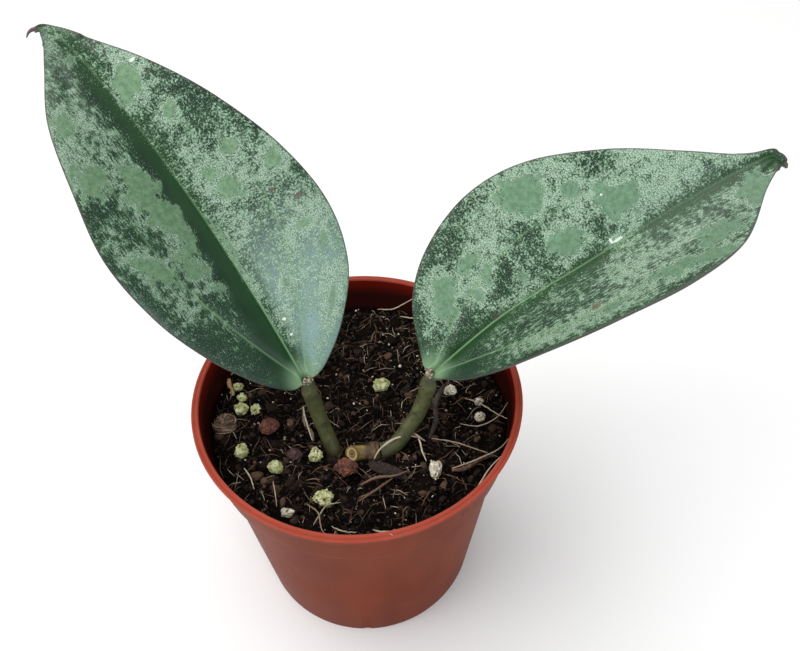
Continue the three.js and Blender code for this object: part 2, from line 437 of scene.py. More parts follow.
def scratch(axes, start, end, width):
    """A thin straight mark between two places on the front wall, in x and z."""
    x, _, z = axes
    run = (end[0] - start[0], end[1] - start[1])
    length = math.hypot(*run)
    unit = (run[0] / length, run[1] / length)
    along = (x - start[0]) * unit[0] + (z - start[1]) * unit[1]
    aside = abs((x - start[0]) * unit[1] - (z - start[1]) * unit[0])
    line = 1.0 - aside.rise(0.2 * width, width)
    return line * along.rise(0.0, width) * (1.0 - along.rise(length - width, length))


def pot_finish():
    finish = Finish("satin_plastic", Roughness=0.4, Specular_IOR_Level=0.02)
    place = finish.place()
    axes = finish.axes(place)
    _, y, z = axes
    flow = finish.noise(finish.stretch(place, (1.0, 1.0, 0.12)), 90.0, 3.0, 0.6)
    cloud = finish.noise(place, 38.0, 3.0, 0.55)
    wall = finish.mix(flow.rise(0.3, 0.7), colour(106, 44, 24), colour(118, 52, 30))
    wall = finish.mix(cloud.rise(0.45, 0.75) * 0.5, wall, colour(98, 38, 22))
    flecks = 1.0 - finish.cells(place, 190.0).rise(0.03, 0.06)
    flecks = flecks * finish.noise(place, 70.0).rise(0.62, 0.68)
    wall = finish.mix(flecks * 0.6, wall, colour(205, 160, 145))
    scuff = dark_ring(finish, place, (0.0277, -0.0332, 0.0722), 1.15 * MM, 0.45 * MM)
    wall = finish.mix(scuff * 0.75, wall, colour(60, 30, 26))
    v_left = scratch(axes, (-0.0092, 0.0781), (-0.0068, 0.0725), 0.22 * MM)
    v_right = scratch(axes, (-0.0068, 0.0725), (-0.0036, 0.0781), 0.22 * MM)
    front = 1.0 - y.rise(-0.002, 0.0)
    wall = finish.mix(v_left.most(v_right) * front * 0.6, wall, colour(84, 42, 34))
    # Painted light: the rim is lightened to salmon for the light that comes through its thin edge.
    rim = z.rise(pot_height - 1.3 * MM, pot_height - 0.9 * MM)
    painted_rim_light = finish.mix(finish.noise(place, 160.0, 2.0), colour(150, 62, 47), colour(172, 82, 66))
    whole = finish.mix(rim, wall, painted_rim_light)
    finish.feed("Base Color", whole)
    finish.feed("Roughness", 0.36 + 0.1 * cloud)
    marks = flow * 0.5 + finish.noise(place, 900.0, 2.0) * 0.25 - scuff * 0.6
    finish.bump(marks, 0.12 * MM, 0.5)
    return finish.material


def pot_inside_finish():
    finish = Finish("inside_plastic_shaded", Roughness=0.42, Specular_IOR_Level=0.02)
    place = finish.place()
    flow = finish.noise(finish.stretch(place, (1.0, 1.0, 0.12)), 90.0, 3.0, 0.6)
    dust = finish.noise(place, 420.0, 4.0, 0.7).rise(0.58, 0.66)
    # Painted shade: the inside is the same plastic as the outside, given a deeper, darker red.
    inner = finish.mix(flow, colour(92, 18, 11), colour(112, 26, 17))
    # Painted shade: from a few mm under the rim down to the soil the wall darkens to near black, with a
    # ragged edge.
    height = finish.axes(place)[2] + (dust - 0.5) * 2 * MM
    painted_deep_shade = (1.0 - height.rise(pot_height - 7 * MM, pot_height - 2 * MM)) * 0.85
    inner = finish.mix(painted_deep_shade, inner, colour(22, 15, 13))
    finish.feed("Base Color", finish.mix(dust * 0.55, inner, colour(34, 20, 16)))
    finish.bump(flow, 0.12 * MM, 0.5)
    return finish.material


complete(pot, [pot_finish(), pot_inside_finish()], ["pot"])
for face in pot.data.polygons:
    centre = face.center
    out = centre.x * face.normal.x + centre.y * face.normal.y
    inner_wall = centre.z > floor_top + 1 * MM and centre.z < pot_height - 0.9 * MM and out < 0
    face.material_index = 1 if inner_wall or abs(centre.z - floor_top) < 0.5 * MM else 0
pick(pot)
bpy.ops.object.shade_smooth_by_angle(angle=math.radians(40))

# %% [markdown]
# ## Smooth paths
#
# Stalks, roots and fibres are all round things that follow a bent line. `swept` lays rings
# along a smooth path through a few chosen points, closes both ends, and lets the radius change
# from ring to ring. The rings keep their turn from one to the next, so nothing twists.
# %% Sweep a round section
def smooth_path(points, count):
    """Evenly spaced places on a smooth line through the points, and their shares of its length."""
    points = np.asarray(points, float)
    spans = len(points) - 1
    fine = np.linspace(0, spans, 40 * spans + 1)
    first = np.minimum(fine.astype(int), spans - 1)
    part = (fine - first)[:, None]
    padded = np.vstack([2 * points[0] - points[1], points, 2 * points[-1] - points[-2]])
    a, b, c, d = (padded[first + i] for i in range(4))
    line = 0.5 * (
        2 * b + (c - a) * part + (2 * a - 5 * b + 4 * c - d) * part**2
        + (3 * b - a - 3 * c + d) * part**3
    )
    run = np.r_[0, np.cumsum(np.linalg.norm(np.diff(line, axis=0), axis=1))]
    share = np.linspace(0, 1, count) if np.isscalar(count) else np.asarray(count)
    return np.stack([np.interp(share * run[-1], run, line[:, k]) for k in range(3)], 1), run[-1]


def swept(points, radii, sides, steps):
    path, _ = smooth_path(points, steps)
    reach = np.interp(np.linspace(0, 1, steps), np.linspace(0, 1, len(radii)), radii)
    ahead = np.gradient(path, axis=0)
    ahead /= np.linalg.norm(ahead, axis=1)[:, None]
    side = np.cross(ahead[0], (0.3, 0.2, 0.93))
    angles = 2 * np.pi * np.arange(sides) / sides
    rings = []
    for place, forward, radius in zip(path, ahead, reach):
        side = side - forward * side.dot(forward)
        side /= np.linalg.norm(side)
        other = np.cross(forward, side)
        rings.append(place + radius * (np.outer(np.cos(angles), side) + np.outer(np.sin(angles), other)))
    vertices = np.vstack([*rings, path[:1], path[-1:]])
    faces = []
    last = (steps - 1) * sides
    for i in range(sides):
        j = (i + 1) % sides
        for ring in range(0, last, sides):
            faces.append((ring + i, ring + j, ring + sides + j, ring + sides + i))
        faces.append((len(vertices) - 2, j, i))
        faces.append((last + i, last + j, len(vertices) - 1))
    return vertices, faces


def gathered(parts):
    """Joins several sets of vertices and faces, and says which part each vertex is from."""
    vertices = np.vstack([part[0] for part in parts])
    faces = []
    owner = []
    start = 0
    for number, (points, polygons) in enumerate(parts):
        faces += [tuple(start + i for i in face) for face in polygons]
        owner += [number] * len(points)
        start += len(points)
    return vertices, faces, np.array(owner)


def join_toned(name, parts, tones, finish):
    """Makes one piece of the parts. Each part's tone is kept on its points for the material."""
    points, faces, owner = gathered(parts)
    piece = new_piece(name, points, faces)
    store(piece, "tone", np.array(tones)[owner])
    complete(piece, [finish])


print("sweep ready")

# %% [markdown]
# ## The leaves' shape
#
# A hoya leaf is a thick blade folded a little along its midrib. Each half is a shallow arc from
# midrib to margin. A grid of points is laid on that shape row by row: the midrib is a smooth
# path, the sideways direction turns slowly along it, and each half has its own widths. Rows and
# columns crowd towards tip, stalk, midrib and margin, where the shape changes most.
# %% Leaf outlines
left_leaf = {
    "name": "left_leaf",
    "midrib": [(-12.4, -6.5, 92.5), (-22.5, 2.5, 112.5), (-34, 12, 132.5), (-47.5, 23, 151),
               (-60, 32.5, 163.5), (-66, 35.8, 167.1), (-68.6, 35.7, 167.2)],
    "side": [(0.78, 0.62, 0.1), (0.7, 0.7, 0.12), (0.62, 0.7, 0.35)],
    "widths": {-1: [3, 7, 13, 19.5, 24.5, 26, 22, 16.5, 8, 2, 0.4],
               1: [3, 8.5, 16.5, 24.5, 27.5, 25, 19, 11.5, 4.5, 1, 0.4]},
    "rise": {-1: (18, 8), 1: (18, 10)},
    "nerve_reach": 15.5,
    "painted_sheen": 0.9,
    "gland": (-11.7, -7.9, 94.4),
    "painted_shade_side": -1.0,
    "scars": [((21.6, 41.5), (1.6, 0.7)), ((17.0, 45.8), (0.8, 0.5))],
    "white_marks": [((8.6, 85.4), (0.9, 0.4)), ((3.1, 17.6), (0.55, 0.45)), ((2.7, 13.2), (0.5, 0.35))],
    "tail": [(-67.8, 35.9, 167.2), (-69, 35.7, 167.1), (-69.8, 35.1, 166.7), (-70.3, 34.4, 165.9)],
    "tail_radii": [0.5, 0.45, 0.3, 0.12],
}
right_leaf = {
    "name": "right_leaf",
    "midrib": [(19.5, -4, 91.5), (37.5, 1, 108.5), (57, 4.5, 123), (77, 9.5, 136),
               (94, 14, 144.5), (98, 14.7, 144.2), (100.2, 14.4, 143)],
    "side": [(0.5, -0.84, -0.22), (0.45, -0.86, -0.25), (0.25, -0.65, -0.7)],
    "widths": {-1: [1.5, 7.5, 17.5, 25, 29.5, 28, 20.5, 10.5, 3.0, 1.4, 0.5],
               1: [1.5, 4, 10.5, 16, 19, 20.5, 21, 17.5, 7.5, 2.6, 0.6]},
    "rise": {-1: (24, 22), 1: (20, 42)},
    "nerve_reach": 14.5,
    "painted_sheen": 0.0,
    "gland": (19.0, -5.4, 94.0),
    "painted_shade_side": 1.0,
    "scars": [((13.0, 46.6), (0.9, 1.4)), ((-0.6, 23.7), (0.5, 1.5))],
    "white_marks": [((-0.6, 58.0), (0.4, 1.6)), ((-1.2, 56.6), (0.9, 0.4)), ((-11.6, 60.4), (0.35, 0.35))],
    "tail": [(99.7, 14.5, 143.2), (100.3, 14.3, 142.7), (100.6, 14, 142.1)],
    "tail_radii": [0.6, 0.6, 0.35],
}
blade_rows = 170
half_columns = 44
blade_thickness = 1.1


def crowded(count):
    """Shares from 0 to 1 that lie closer together at both ends."""
    even = np.linspace(0, 1, count)
    return 0.5 * even + 0.25 * (1 - np.cos(np.pi * even))


def half_widths(widths, along):
    stations = np.arccos(1 - 2 * along) / np.pi
    outline = [(i, width, 0) for i, width in enumerate(widths)]
    line, _ = smooth_path(outline, 400)
    return np.interp(stations * (len(widths) - 1), line[:, 0], line[:, 1])


def leaf_frames(leaf, along):
    step = 0.002
    middle, length = smooth_path(leaf["midrib"], along)
    before, _ = smooth_path(leaf["midrib"], np.clip(along - step, 0, 1))
    after, _ = smooth_path(leaf["midrib"], np.clip(along + step, 0, 1))
    forward = after - before
    forward /= np.linalg.norm(forward, axis=1)[:, None]
    near, mid, far = np.array(leaf["side"])
    share = along[:, None]
    side = near * (1 - share) ** 2 + mid * 2 * share * (1 - share) + far * share**2
    side -= (side * forward).sum(1)[:, None] * forward
    side /= np.linalg.norm(side, axis=1)[:, None]
    return middle, side, np.cross(side, forward), length


def blade_points(leaf, along, across):
    """The upper face's places, and how far each is from the midrib and from the margin, in mm."""
    middle, side, up, length = leaf_frames(leaf, along)
    places = np.zeros((len(along), len(across), 3))
    out_mm = np.zeros(places.shape[:2])
    edge_mm = np.zeros(places.shape[:2])
    for sign in (-1, 1):
        columns = np.where(across * sign >= 0)[0]
        part = np.abs(across[columns])[None, :]
        width = half_widths(leaf["widths"][sign], along)[:, None]
        start, end = np.radians(leaf["rise"][sign])
        angle = start + (end - start) * part
        out = width * (np.sin(angle) - np.sin(start)) / (end - start)
        lift = width * (np.cos(start) - np.cos(angle)) / (end - start)
        nerve = leaf["nerve_reach"] * np.sin(np.pi * along)[:, None]
        reach = width * part
        groove = 0.45 * np.exp(-((reach / 1.0) ** 2)) * (1 - along[:, None])
        groove = groove + 0.3 * np.exp(-(((reach - nerve) / 1.2) ** 2)) * (1 - along[:, None]) ** 0.7
        billow = 0.35 * np.sin(np.pi * np.clip(reach / np.maximum(nerve, 2), 0, 1)) ** 2
        curl = 0.5 * np.exp(-(width * (1 - part)) / 1.2) * (width > 4)
        lift = lift - groove + billow - curl
        rows = middle[:, None, :] + sign * side[:, None, :] * out[..., None]
        places[:, columns] = rows + up[:, None, :] * lift[..., None]
        out_mm[:, columns] = sign * reach
        edge_mm[:, columns] = width * (1 - part)
    return places, out_mm, edge_mm, length


print("leaf shape ready")

# %% [markdown]
# ## Splash marks
#
# The silver-green splashes are air under the skin, so they are colour with a crisp, ragged
# edge. Solid patches are ovals put where the plant has them, in the leaf's own millimetres:
# along the midrib and across it. A vertex holds how deep inside a patch it lies, and the
# material makes the edge. Fine specks fill the rest, thinly beside the midrib.
# %% Patches and specks
# Each patch: across, along, half length, half width, direction in degrees from across, strength.
left_patches = [
    (5.4, 82.4, 4.3, 3.4, 35, 1), (-15.0, 81.3, 4.0, 2.9, 60, 1), (-7.4, 78.6, 4.4, 3.0, 83, 0.4),
    (-16.8, 68.2, 4.0, 2.8, 45, 1), (-20.6, 71.0, 2.8, 1.0, 50, 1), (-9.2, 56.5, 10.4, 3.1, 103, 1),
    (-8.4, 62.6, 4.6, 3.0, 118, 1), (-10.6, 40.7, 4.9, 2.3, 107, 1), (-18.0, 45.5, 5.4, 2.1, 117, 1),
    (-20.5, 55.2, 3.6, 2.3, 45, 0.4), (-17.5, 37.4, 4.6, 3.0, 98, 0.5), (-6.9, 32.8, 1.7, 1.3, 138, 1),
    (14.1, 58.6, 2.1, 1.7, 48, 1), (9.7, 51.0, 3.3, 2.6, 164, 1), (6.9, 55.8, 2.2, 1.4, 142, 0.9),
    (6.9, 64.1, 2.5, 2.0, 152, 0.5), (21.2, 51.0, 2.2, 2.0, 20, 1), (7.4, 72.0, 1.9, 1.4, 30, 0.9),
    (8.2, 25.4, 1.1, 0.8, 64, 1), (3.1, 17.6, 1.0, 0.8, 62, 1), (2.7, 13.2, 0.9, 0.6, 84, 1),
    (-2.6, 93.2, 1.0, 0.7, 45, 1), (1.2, 40.0, 5.6, 0.7, 87, 1), (16.4, 16.1, 4.9, 0.7, 51, 1),
    (21.7, 29.6, 2.2, 0.9, 58, 0.8), (20.2, 35.4, 3.3, 0.8, 7, 0.8), (-5.8, 93.2, 2.4, 1.8, 40, 0.5),
    (-7.0, 89.5, 2.2, 1.3, 145, 0.6), (4.4, 44.8, 3.4, 2.0, 145, 0.5), (-2.2, 99.0, 2.7, 1.2, 42, 0.6),
    (-14.0, 30.5, 3.2, 1.6, 110, 0.5), (-12.5, 70.5, 2.6, 1.2, 100, 0.5),
]
right_patches = [
    (-21.5, 45.2, 5.8, 4.6, 56, 1), (-8.8, 63.0, 5.6, 4.2, 47, 1), (-6.3, 47.9, 4.2, 3.3, 148, 1),
    (-12.0, 16.6, 5.6, 2.6, 141, 0.9), (-10.4, 27.8, 2.0, 1.1, 145, 1), (-7.8, 23.1, 2.7, 1.4, 20, 1),
    (-15.4, 26.0, 2.6, 2.0, 158, 0.9), (-16.9, 55.4, 2.1, 1.6, 58, 0.9), (-12.3, 54.7, 3.1, 2.4, 20, 0.6),
    (-14.9, 31.5, 2.4, 1.7, 152, 0.6), (5.8, 89.0, 4.6, 3.6, 163, 1), (15.0, 65.4, 5.2, 1.8, 80, 1),
    (-4.6, 88.5, 3.4, 1.4, 57, 0.7), (-5.2, 34.7, 1.4, 1.1, 149, 0.8), (-12.6, 12.5, 4.0, 1.0, 138, 0.6),
    (-14.0, 72.0, 4.0, 2.4, 60, 0.6), (11.5, 78.0, 5.0, 2.4, 85, 0.8), (16.8, 74.0, 4.5, 1.6, 80, 0.9),
    (-22.0, 36.0, 3.2, 2.0, 80, 0.6), (15.0, 48.0, 5.0, 1.2, 80, 0.8), (-6.0, 77.0, 3.0, 1.8, 70, 0.6),
    (0.4, 58.4, 1.3, 0.45, 84, 1), (-0.4, 35.0, 1.7, 0.4, 88, 1), (9.0, 66.0, 5.0, 1.6, 84, 0.6),
    (14.5, 36.0, 5.0, 1.0, 78, 0.7), (-24.5, 52.0, 3.4, 1.6, 60, 0.7),
]


def patch_depth(patches, out, along, ragged):
    """How far inside the nearest patch each place lies, in mm: below 0 outside."""
    deepest = np.full(len(out), -4.0)
    soft = np.zeros(len(out))
    for across, middle, half_length, half_width, direction, strength in patches:
        turn = math.radians(direction)
        dx = out - across
        dy = along - middle
        lengthways = (dx * math.cos(turn) + dy * math.sin(turn)) / half_length
        sideways = (dy * math.cos(turn) - dx * math.sin(turn)) / half_width
        depth = (1 - np.hypot(lengthways, sideways)) * half_width + ragged * min(1.0, 0.35 * half_width)
        if strength > 0.7:
            deepest = np.maximum(deepest, depth)
        soft = np.maximum(soft, strength * np.clip(1 + 0.4 * depth, 0, 1))
    return np.clip(deepest, -4, 4), soft


def speck_density(leaf, out, along, share, soft, spread):
    """0 is bare green and 1 is almost solid silver."""
    if leaf is left_leaf:
        near_stalk = np.clip((along - 4) / 45, 0, 1)
        base = 0.32 + 0.26 * near_stalk + np.where(out > 0, 0.05, -0.12)
        left_band = np.exp(-((out + 2.5) / 3.0) ** 2)
        beside = np.where(out < 0, left_band, 0.4 * np.exp(-((out - 1.5) / 2) ** 2))
        bare = beside * np.clip(2.6 - along / 36, 0, 1)
        thinner = 0.08 * np.exp(-((along - 8) / 16) ** 2)
        thicker = 0.22 * np.clip(1.6 - along / 30, 0, 1)
        base = base - 0.75 * bare + np.where(out < 0, -thinner, thicker)
    else:
        base = 0.44 + 0.24 * np.clip(along / 60, 0, 1) + np.where(out > 0, -0.04, 0.02)
        bare = np.exp(-((out - 0.5) / 1.6) ** 2)
        dark_wedge = np.exp(-(((out + 4 + 0.08 * along) / 3.5) ** 2)) * np.exp(-((along - 28) / 22) ** 2)
        margin = np.where(out > 0, np.exp(-((1 - share) / 0.06) ** 2), 0)
        base = base - 0.5 * bare - 0.25 * dark_wedge - 0.45 * margin - 0.2 * np.exp(-((along / 9) ** 2))
    return np.clip(base + 0.22 * spread + 0.5 * soft, 0, 1)


print("patches:", len(left_patches), "and", len(right_patches))


# %% [markdown]
# ## Leaf finishes
#
# The upper skin is glossy, so the sky shows in it. Its colour is built from the bottom up:
# dark green with a painted sheen at the left leaf's base, then specks from a thresholded noise,
# then patches, then painted shade over one half, then the pale nerves, which follow one sine
# curve each side, then scars and white marks, and last the dark thin margin.
# %% Upper and lower skin
def leaf_coordinates(finish):
    uv = finish.node("ShaderNodeUVMap", {"uv_map": "blade"}, {})
    u, v, _ = finish.axes(uv)
    return (u - 0.5) * 100.0, v * 110.0


def nerve_lines(out, along, length, reach):
    share = along / length
    curve = (share * math.pi).maths("SINE", share * math.pi) * reach
    away = abs(abs(out) - curve)
    fade = 1.0 - share.rise(0.3, 0.8)
    side_nerve = (1.0 - away.rise(0.05, 0.5)) * fade
    middle = 1.0 - abs(out).rise(0.1, 0.45)
    return side_nerve, middle * (1.0 - 0.8 * share.rise(0.1, 0.75))


def oval_mark(finish, mm_place, centre, size):
    """A soft oval in the leaf's own millimetres."""
    scaled = finish.stretch(mm_place, (1 / size[0], 1 / size[1], 1.0))
    away = finish.distance(scaled, (centre[0] / size[0], centre[1] / size[1], 0.0))
    wobble = finish.noise(mm_place, 1.6, 3.0)
    return 1.0 - (away + (wobble - 0.5) * 1.2).rise(0.7, 1.0)


def upper_skin(leaf, length, tones):
    finish = Finish(leaf["name"] + "_upper_skin", Roughness=0.36, Specular_IOR_Level=0.3, Coat_Roughness=0.24)
    out, along = leaf_coordinates(finish)
    mm_place = finish.vector(out, along, 0.0)
    patch = finish.attribute("patch")
    density = finish.attribute("specks")
    streak = finish.attribute("streak")
    edge = finish.attribute("edge")
    even = finish.noise(mm_place, 1.9, 5.0, 0.66)
    drawn = finish.noise(finish.stretch(mm_place, (1.3, 0.3, 1.0)), 1.9, 5.0, 0.66)
    grain = even + (drawn - even) * streak
    broad = finish.noise(mm_place, 0.13, 2.0)
    mottle = finish.noise(mm_place, 0.5, 4.0, 0.62)
    fine = finish.noise(mm_place, 3.4, 3.0, 0.6)
    limit = 0.68 - density * 0.34 - (mottle - 0.5) * 0.42 - (broad - 0.5) * 0.1
    specks = grain.rise(limit, limit + 0.035)
    bright = grain.rise(limit + 0.06, limit + 0.11) * fine.rise(0.44, 0.54)
    dots = fine.rise(0.62, 0.65) * density.rise(0.05, 0.3)
    ragged = patch + (grain - 0.5) * 4.6 + (mottle - 0.5) * 3.0
    solid = ragged.rise(-0.1, 0.25)
    pits = fine.rise(0.60, 0.65) * (1.0 - patch.rise(0.6, 2.6))
    solid = solid * (1.0 - pits * 0.8)
    green = finish.mix(broad.rise(0.35, 0.65), tones["dark"], tones["green"])
    near_midrib = 1.0 - abs(out).rise(1.0, 5.0)
    green = finish.mix(near_midrib * 0.8, green, tones["midrib_green"])
    # Painted sheen: a pale blue-green reflection of the sky, mixed into the colour at the left leaf's base,
    # right of the midrib.
    painted_sheen = out.rise(1.0, 5.0) * (1.0 - along.rise(20.0, 48.0)) * leaf["painted_sheen"]
    green = finish.mix(painted_sheen, green, colour(132, 164, 158))
    sage = finish.mix(mottle.rise(0.38, 0.62), tones["haze"], tones["speck"])
    sage = finish.mix(bright * 0.85, sage, tones["pale"])
    skin = finish.mix(specks * 0.86, green, sage)
    skin = finish.mix(dots * 0.8, skin, tones["pale"])
    patch_tone = finish.noise(mm_place, 0.8, 4.0, 0.62).rise(0.36, 0.64)
    patch_colour = finish.mix(patch_tone, tones["patch"], tones["patch_light"])
    patch_colour = finish.mix(fine.rise(0.5, 0.62) * 0.3, patch_colour, tones["haze"])
    skin = finish.mix(solid * 0.94, skin, patch_colour)
    # Painted shade: the half on this side of the midrib is mixed a quarter of the way back to plain dark
    # green, as that half lies in shade.
    shade_sign = leaf["painted_shade_side"]
    skin = finish.mix((out * shade_sign).rise(-1.0, 3.0) * 0.24, skin, tones["green"])
    side_nerve, middle = nerve_lines(out, along, length, leaf["nerve_reach"])
    skin = finish.mix(side_nerve * 0.45, skin, tones["nerve"])
    skin = finish.mix(middle * 0.8, skin, tones["nerve"])
    stalk_end = 1.0 - along.rise(1.0, 9.0)
    skin = finish.mix(stalk_end * 0.85 * (1.0 - abs(out).rise(1.0, 7.0)), skin, tones["stalk_end"])
    for centre, size in leaf["scars"]:
        skin = finish.mix(oval_mark(finish, mm_place, centre, size) * 0.75, skin, colour(92, 70, 62))
    for centre, size in leaf["white_marks"]:
        skin = finish.mix(oval_mark(finish, mm_place, centre, size), skin, colour(226, 238, 226))
    skin = finish.mix((1.0 - edge.rise(0.2, 0.5)) * 0.75, skin, colour(70, 66, 62))
    finish.feed("Base Color", skin)
    finish.feed("Roughness", 0.33 + 0.1 * specks + 0.06 * broad)
    finish.feed("Coat Weight", 0.2 * (1.0 - 0.5 * specks))
    height = even * 0.5 + fine * 0.3 - middle * 0.6 - side_nerve * 0.4
    finish.bump(height, 0.12 * MM, 0.8)
    return finish.material


def lower_skin(leaf, length):
    finish = Finish(leaf["name"] + "_lower_skin", Roughness=0.5, IOR=1.42)
    out, along = leaf_coordinates(finish)
    mm_place = finish.vector(out, along, 0.0)
    mottle = finish.noise(mm_place, 0.5, 4.0, 0.6)
    skin = finish.mix(mottle.rise(0.3, 0.7), colour(122, 146, 104), colour(138, 160, 118))
    side_nerve, middle = nerve_lines(out, along, length, leaf["nerve_reach"])
    skin = finish.mix(side_nerve * 0.5, skin, colour(158, 176, 132))
    skin = finish.mix(middle * 0.8, skin, colour(160, 172, 124))
    skin = finish.mix((1.0 - finish.attribute("edge").rise(0.3, 0.8)) * 0.7, skin, colour(110, 92, 92))
    finish.feed("Base Color", skin)
    finish.bump(mottle * 0.4 + middle + side_nerve * 0.5, 0.25 * MM, 0.6)
    return finish.material


left_tones = {
    "dark": colour(22, 48, 31), "green": colour(30, 62, 38), "midrib_green": colour(32, 70, 33),
    "haze": colour(76, 108, 80), "speck": colour(110, 144, 114), "pale": colour(192, 216, 194),
    "patch": colour(98, 132, 97), "patch_light": colour(124, 158, 122),
    "nerve": colour(118, 156, 112), "stalk_end": colour(138, 174, 134),
}
right_tones = dict(left_tones, patch=colour(92, 126, 98), patch_light=colour(114, 149, 119))
print("leaf finishes ready")


# %% [markdown]
# ## Growing the blades
#
# The grid primitive gives an evenly divided sheet. Its points are moved to the leaf's places,
# its UV map takes the leaf's own coordinates, and the marks are stored on its points. Then a
# Solidify modifier gives the fleshy thickness, thinner at the margin, with the paler skin below.
# %% Build both leaves
def tip_tail(leaf):
    points = np.array(leaf["tail"]) * MM
    return swept(points, np.array(leaf["tail_radii"]) * MM, 12, 18)


def build_leaf(leaf, patches, tones):
    along = crowded(blade_rows)
    half = crowded(half_columns + 1)
    across = np.r_[-half[:0:-1], half]
    columns = len(across)
    bpy.ops.object.select_all(action="DESELECT")
    bpy.ops.mesh.primitive_grid_add(x_subdivisions=columns - 1, y_subdivisions=blade_rows - 1, size=2)
    blade = bpy.context.active_object
    blade.name = leaf["name"] + "_blade"
    places, out, edge, length = blade_points(leaf, along, across)
    flat = places.reshape(-1, 3) * MM
    out, edge = out.ravel(), edge.ravel()
    run = np.repeat(along * length, columns)
    share = np.tile(np.abs(across), blade_rows)
    move_points(blade, flat)
    flat_mm = np.stack([out, run, np.zeros(len(out))], 1)
    depth, soft = patch_depth(patches, out, run, 1.6 * lumps(flat_mm, 2.6, 3, 2))
    store(blade, "patch", depth)
    store(blade, "specks", speck_density(leaf, out, run, share, soft, lumps(flat_mm, 11.0, 8, 2)))
    drawn = 0.75 if leaf is left_leaf else 0.95
    drawn_side = -1 if leaf is left_leaf else 1
    store(blade, "streak", drawn * np.clip(0.25 + drawn_side * out / 6, 0, 1))
    store(blade, "edge", edge)
    uv = blade.data.uv_layers[0]
    uv.name = "blade"
    corners = np.empty(len(blade.data.loops), int)
    blade.data.loops.foreach_get("vertex_index", corners)
    chart = np.stack([0.5 + out / 100, run / 110], 1)
    uv.data.foreach_set("uv", chart[corners].ravel())
    thick = blade.vertex_groups.new(name="thick")
    for index, value in enumerate(np.clip(0.55 + edge / 14, 0, 1)):
        thick.add([index], float(value), "REPLACE")
    blade.data.materials.clear()
    for skin in (upper_skin(leaf, length, tones), lower_skin(leaf, length)):
        blade.data.materials.append(skin)
    apply_modifier(
        blade, "SOLIDIFY", thickness=blade_thickness * MM, offset=-1, vertex_group="thick",
        material_offset=1, use_even_offset=False,
    )
    complete(blade, [], [leaf["name"]])


def tail_finish():
    finish = Finish("dry_tip", Roughness=0.5)
    streaks = finish.noise(finish.place(), 900.0, 3.0)
    finish.feed("Base Color", finish.mix(streaks, colour(62, 50, 52), colour(104, 88, 84)))
    finish.bump(streaks, 0.1 * MM, 0.5)
    return finish.material


dry_tip = tail_finish()
for leaf, patches, tones in ((left_leaf, left_patches, left_tones), (right_leaf, right_patches, right_tones)):
    build_leaf(leaf, patches, tones)
    tail = new_piece(leaf["name"] + "_tip", *tip_tail(leaf))
    complete(tail, [dry_tip])

# %% [markdown]
# ## The stalks
#
# Each leaf hangs on a petiole, a firm round stalk that thickens at both ends. The left one is
# nearly straight. The right one leaves the stem low and bends up. Both are swept along the
# routes of the plain solids, and run a little way into the blade so that the joint closes.
# %% Petioles
def petiole_finish():
    finish = Finish("petiole_skin", Roughness=0.46, IOR=1.42)
    place = finish.place()
    mottle = finish.noise(place, 260.0, 4.0, 0.6)
    skin = finish.mix(mottle.rise(0.3, 0.7), colour(62, 65, 37), colour(84, 88, 52))
    flecks = finish.noise(place, 720.0, 3.0, 0.7).rise(0.58, 0.64)
    patches = finish.noise(place, 150.0, 2.0).rise(0.4, 0.6)
    skin = finish.mix(flecks * (0.35 + 0.6 * patches), skin, colour(50, 34, 32))
    low = 1.0 - finish.axes(place)[2].rise(0.069, 0.076)
    skin = finish.mix(low * 0.6, skin, colour(58, 52, 34))
    finish.feed("Base Color", skin)
    finish.bump(mottle + flecks * 0.5, 0.15 * MM, 0.6)
    return finish.material


petiole_skin = petiole_finish()
petiole_routes = {
    "left_petiole": [(-4.6, -14.2, 62), (-5.6, -13.6, 66), (-7, -12, 70.5), (-8.8, -9.6, 76),
                     (-10.9, -7.4, 84), (-12.2, -6.5, 91.3), (-12.7, -6.0, 93.4)],
    "right_petiole": [(6.2, -13.3, 70.2), (7.6, -13, 70.4), (10.2, -12, 71.6), (13, -10.1, 74.6),
                      (16.2, -7.8, 79.6), (18.3, -5.8, 85), (19.4, -4.6, 90.4), (20.0, -3.8, 92.2)],
}
petiole_radii = [2.4, 2.2, 2.1, 2.05, 2.05, 2.1, 2.2, 1.3]
for name, route in petiole_routes.items():
    points, faces = swept(np.array(route) * MM, np.array(petiole_radii) * MM, 32, 90)
    stalk = new_piece(name + "_stalk", points, faces)
    swell = 0.07 * MM * lumps(points_of(stalk), 3 * MM, 4, 2)
    middle = np.vstack([points[:-2].reshape(-1, 32, 3).mean(1).repeat(32, 0), points[-2:]])
    outward = points - middle
    outward /= np.maximum(np.linalg.norm(outward, axis=1), 1e-9)[:, None]
    move_points(stalk, points + outward * swell[:, None])
    complete(stalk, [petiole_skin], [name])

# %% [markdown]
# ## Glands
#
# Where blade and stalk meet, a hoya has a little cluster of pale brown bumps. Small balls
# are pressed flat and heaped there, a few large ones in the middle of smaller ones.
# %% Gland clusters
def ball_shape(subdivisions):
    bpy.ops.object.select_all(action="DESELECT")
    bpy.ops.mesh.primitive_ico_sphere_add(subdivisions=subdivisions, radius=1.0)
    ball = bpy.context.active_object
    points = points_of(ball)
    faces = [tuple(face.vertices) for face in ball.data.polygons]
    bpy.data.objects.remove(ball)
    return points, faces


def gland_finish():
    finish = Finish("gland", Roughness=0.5)
    grain = finish.noise(finish.place(), 1500.0, 3.0, 0.6)
    finish.feed("Base Color", finish.mix(grain.rise(0.35, 0.65), colour(84, 66, 54), colour(168, 160, 138)))
    finish.bump(grain, 0.08 * MM, 0.6)
    return finish.material


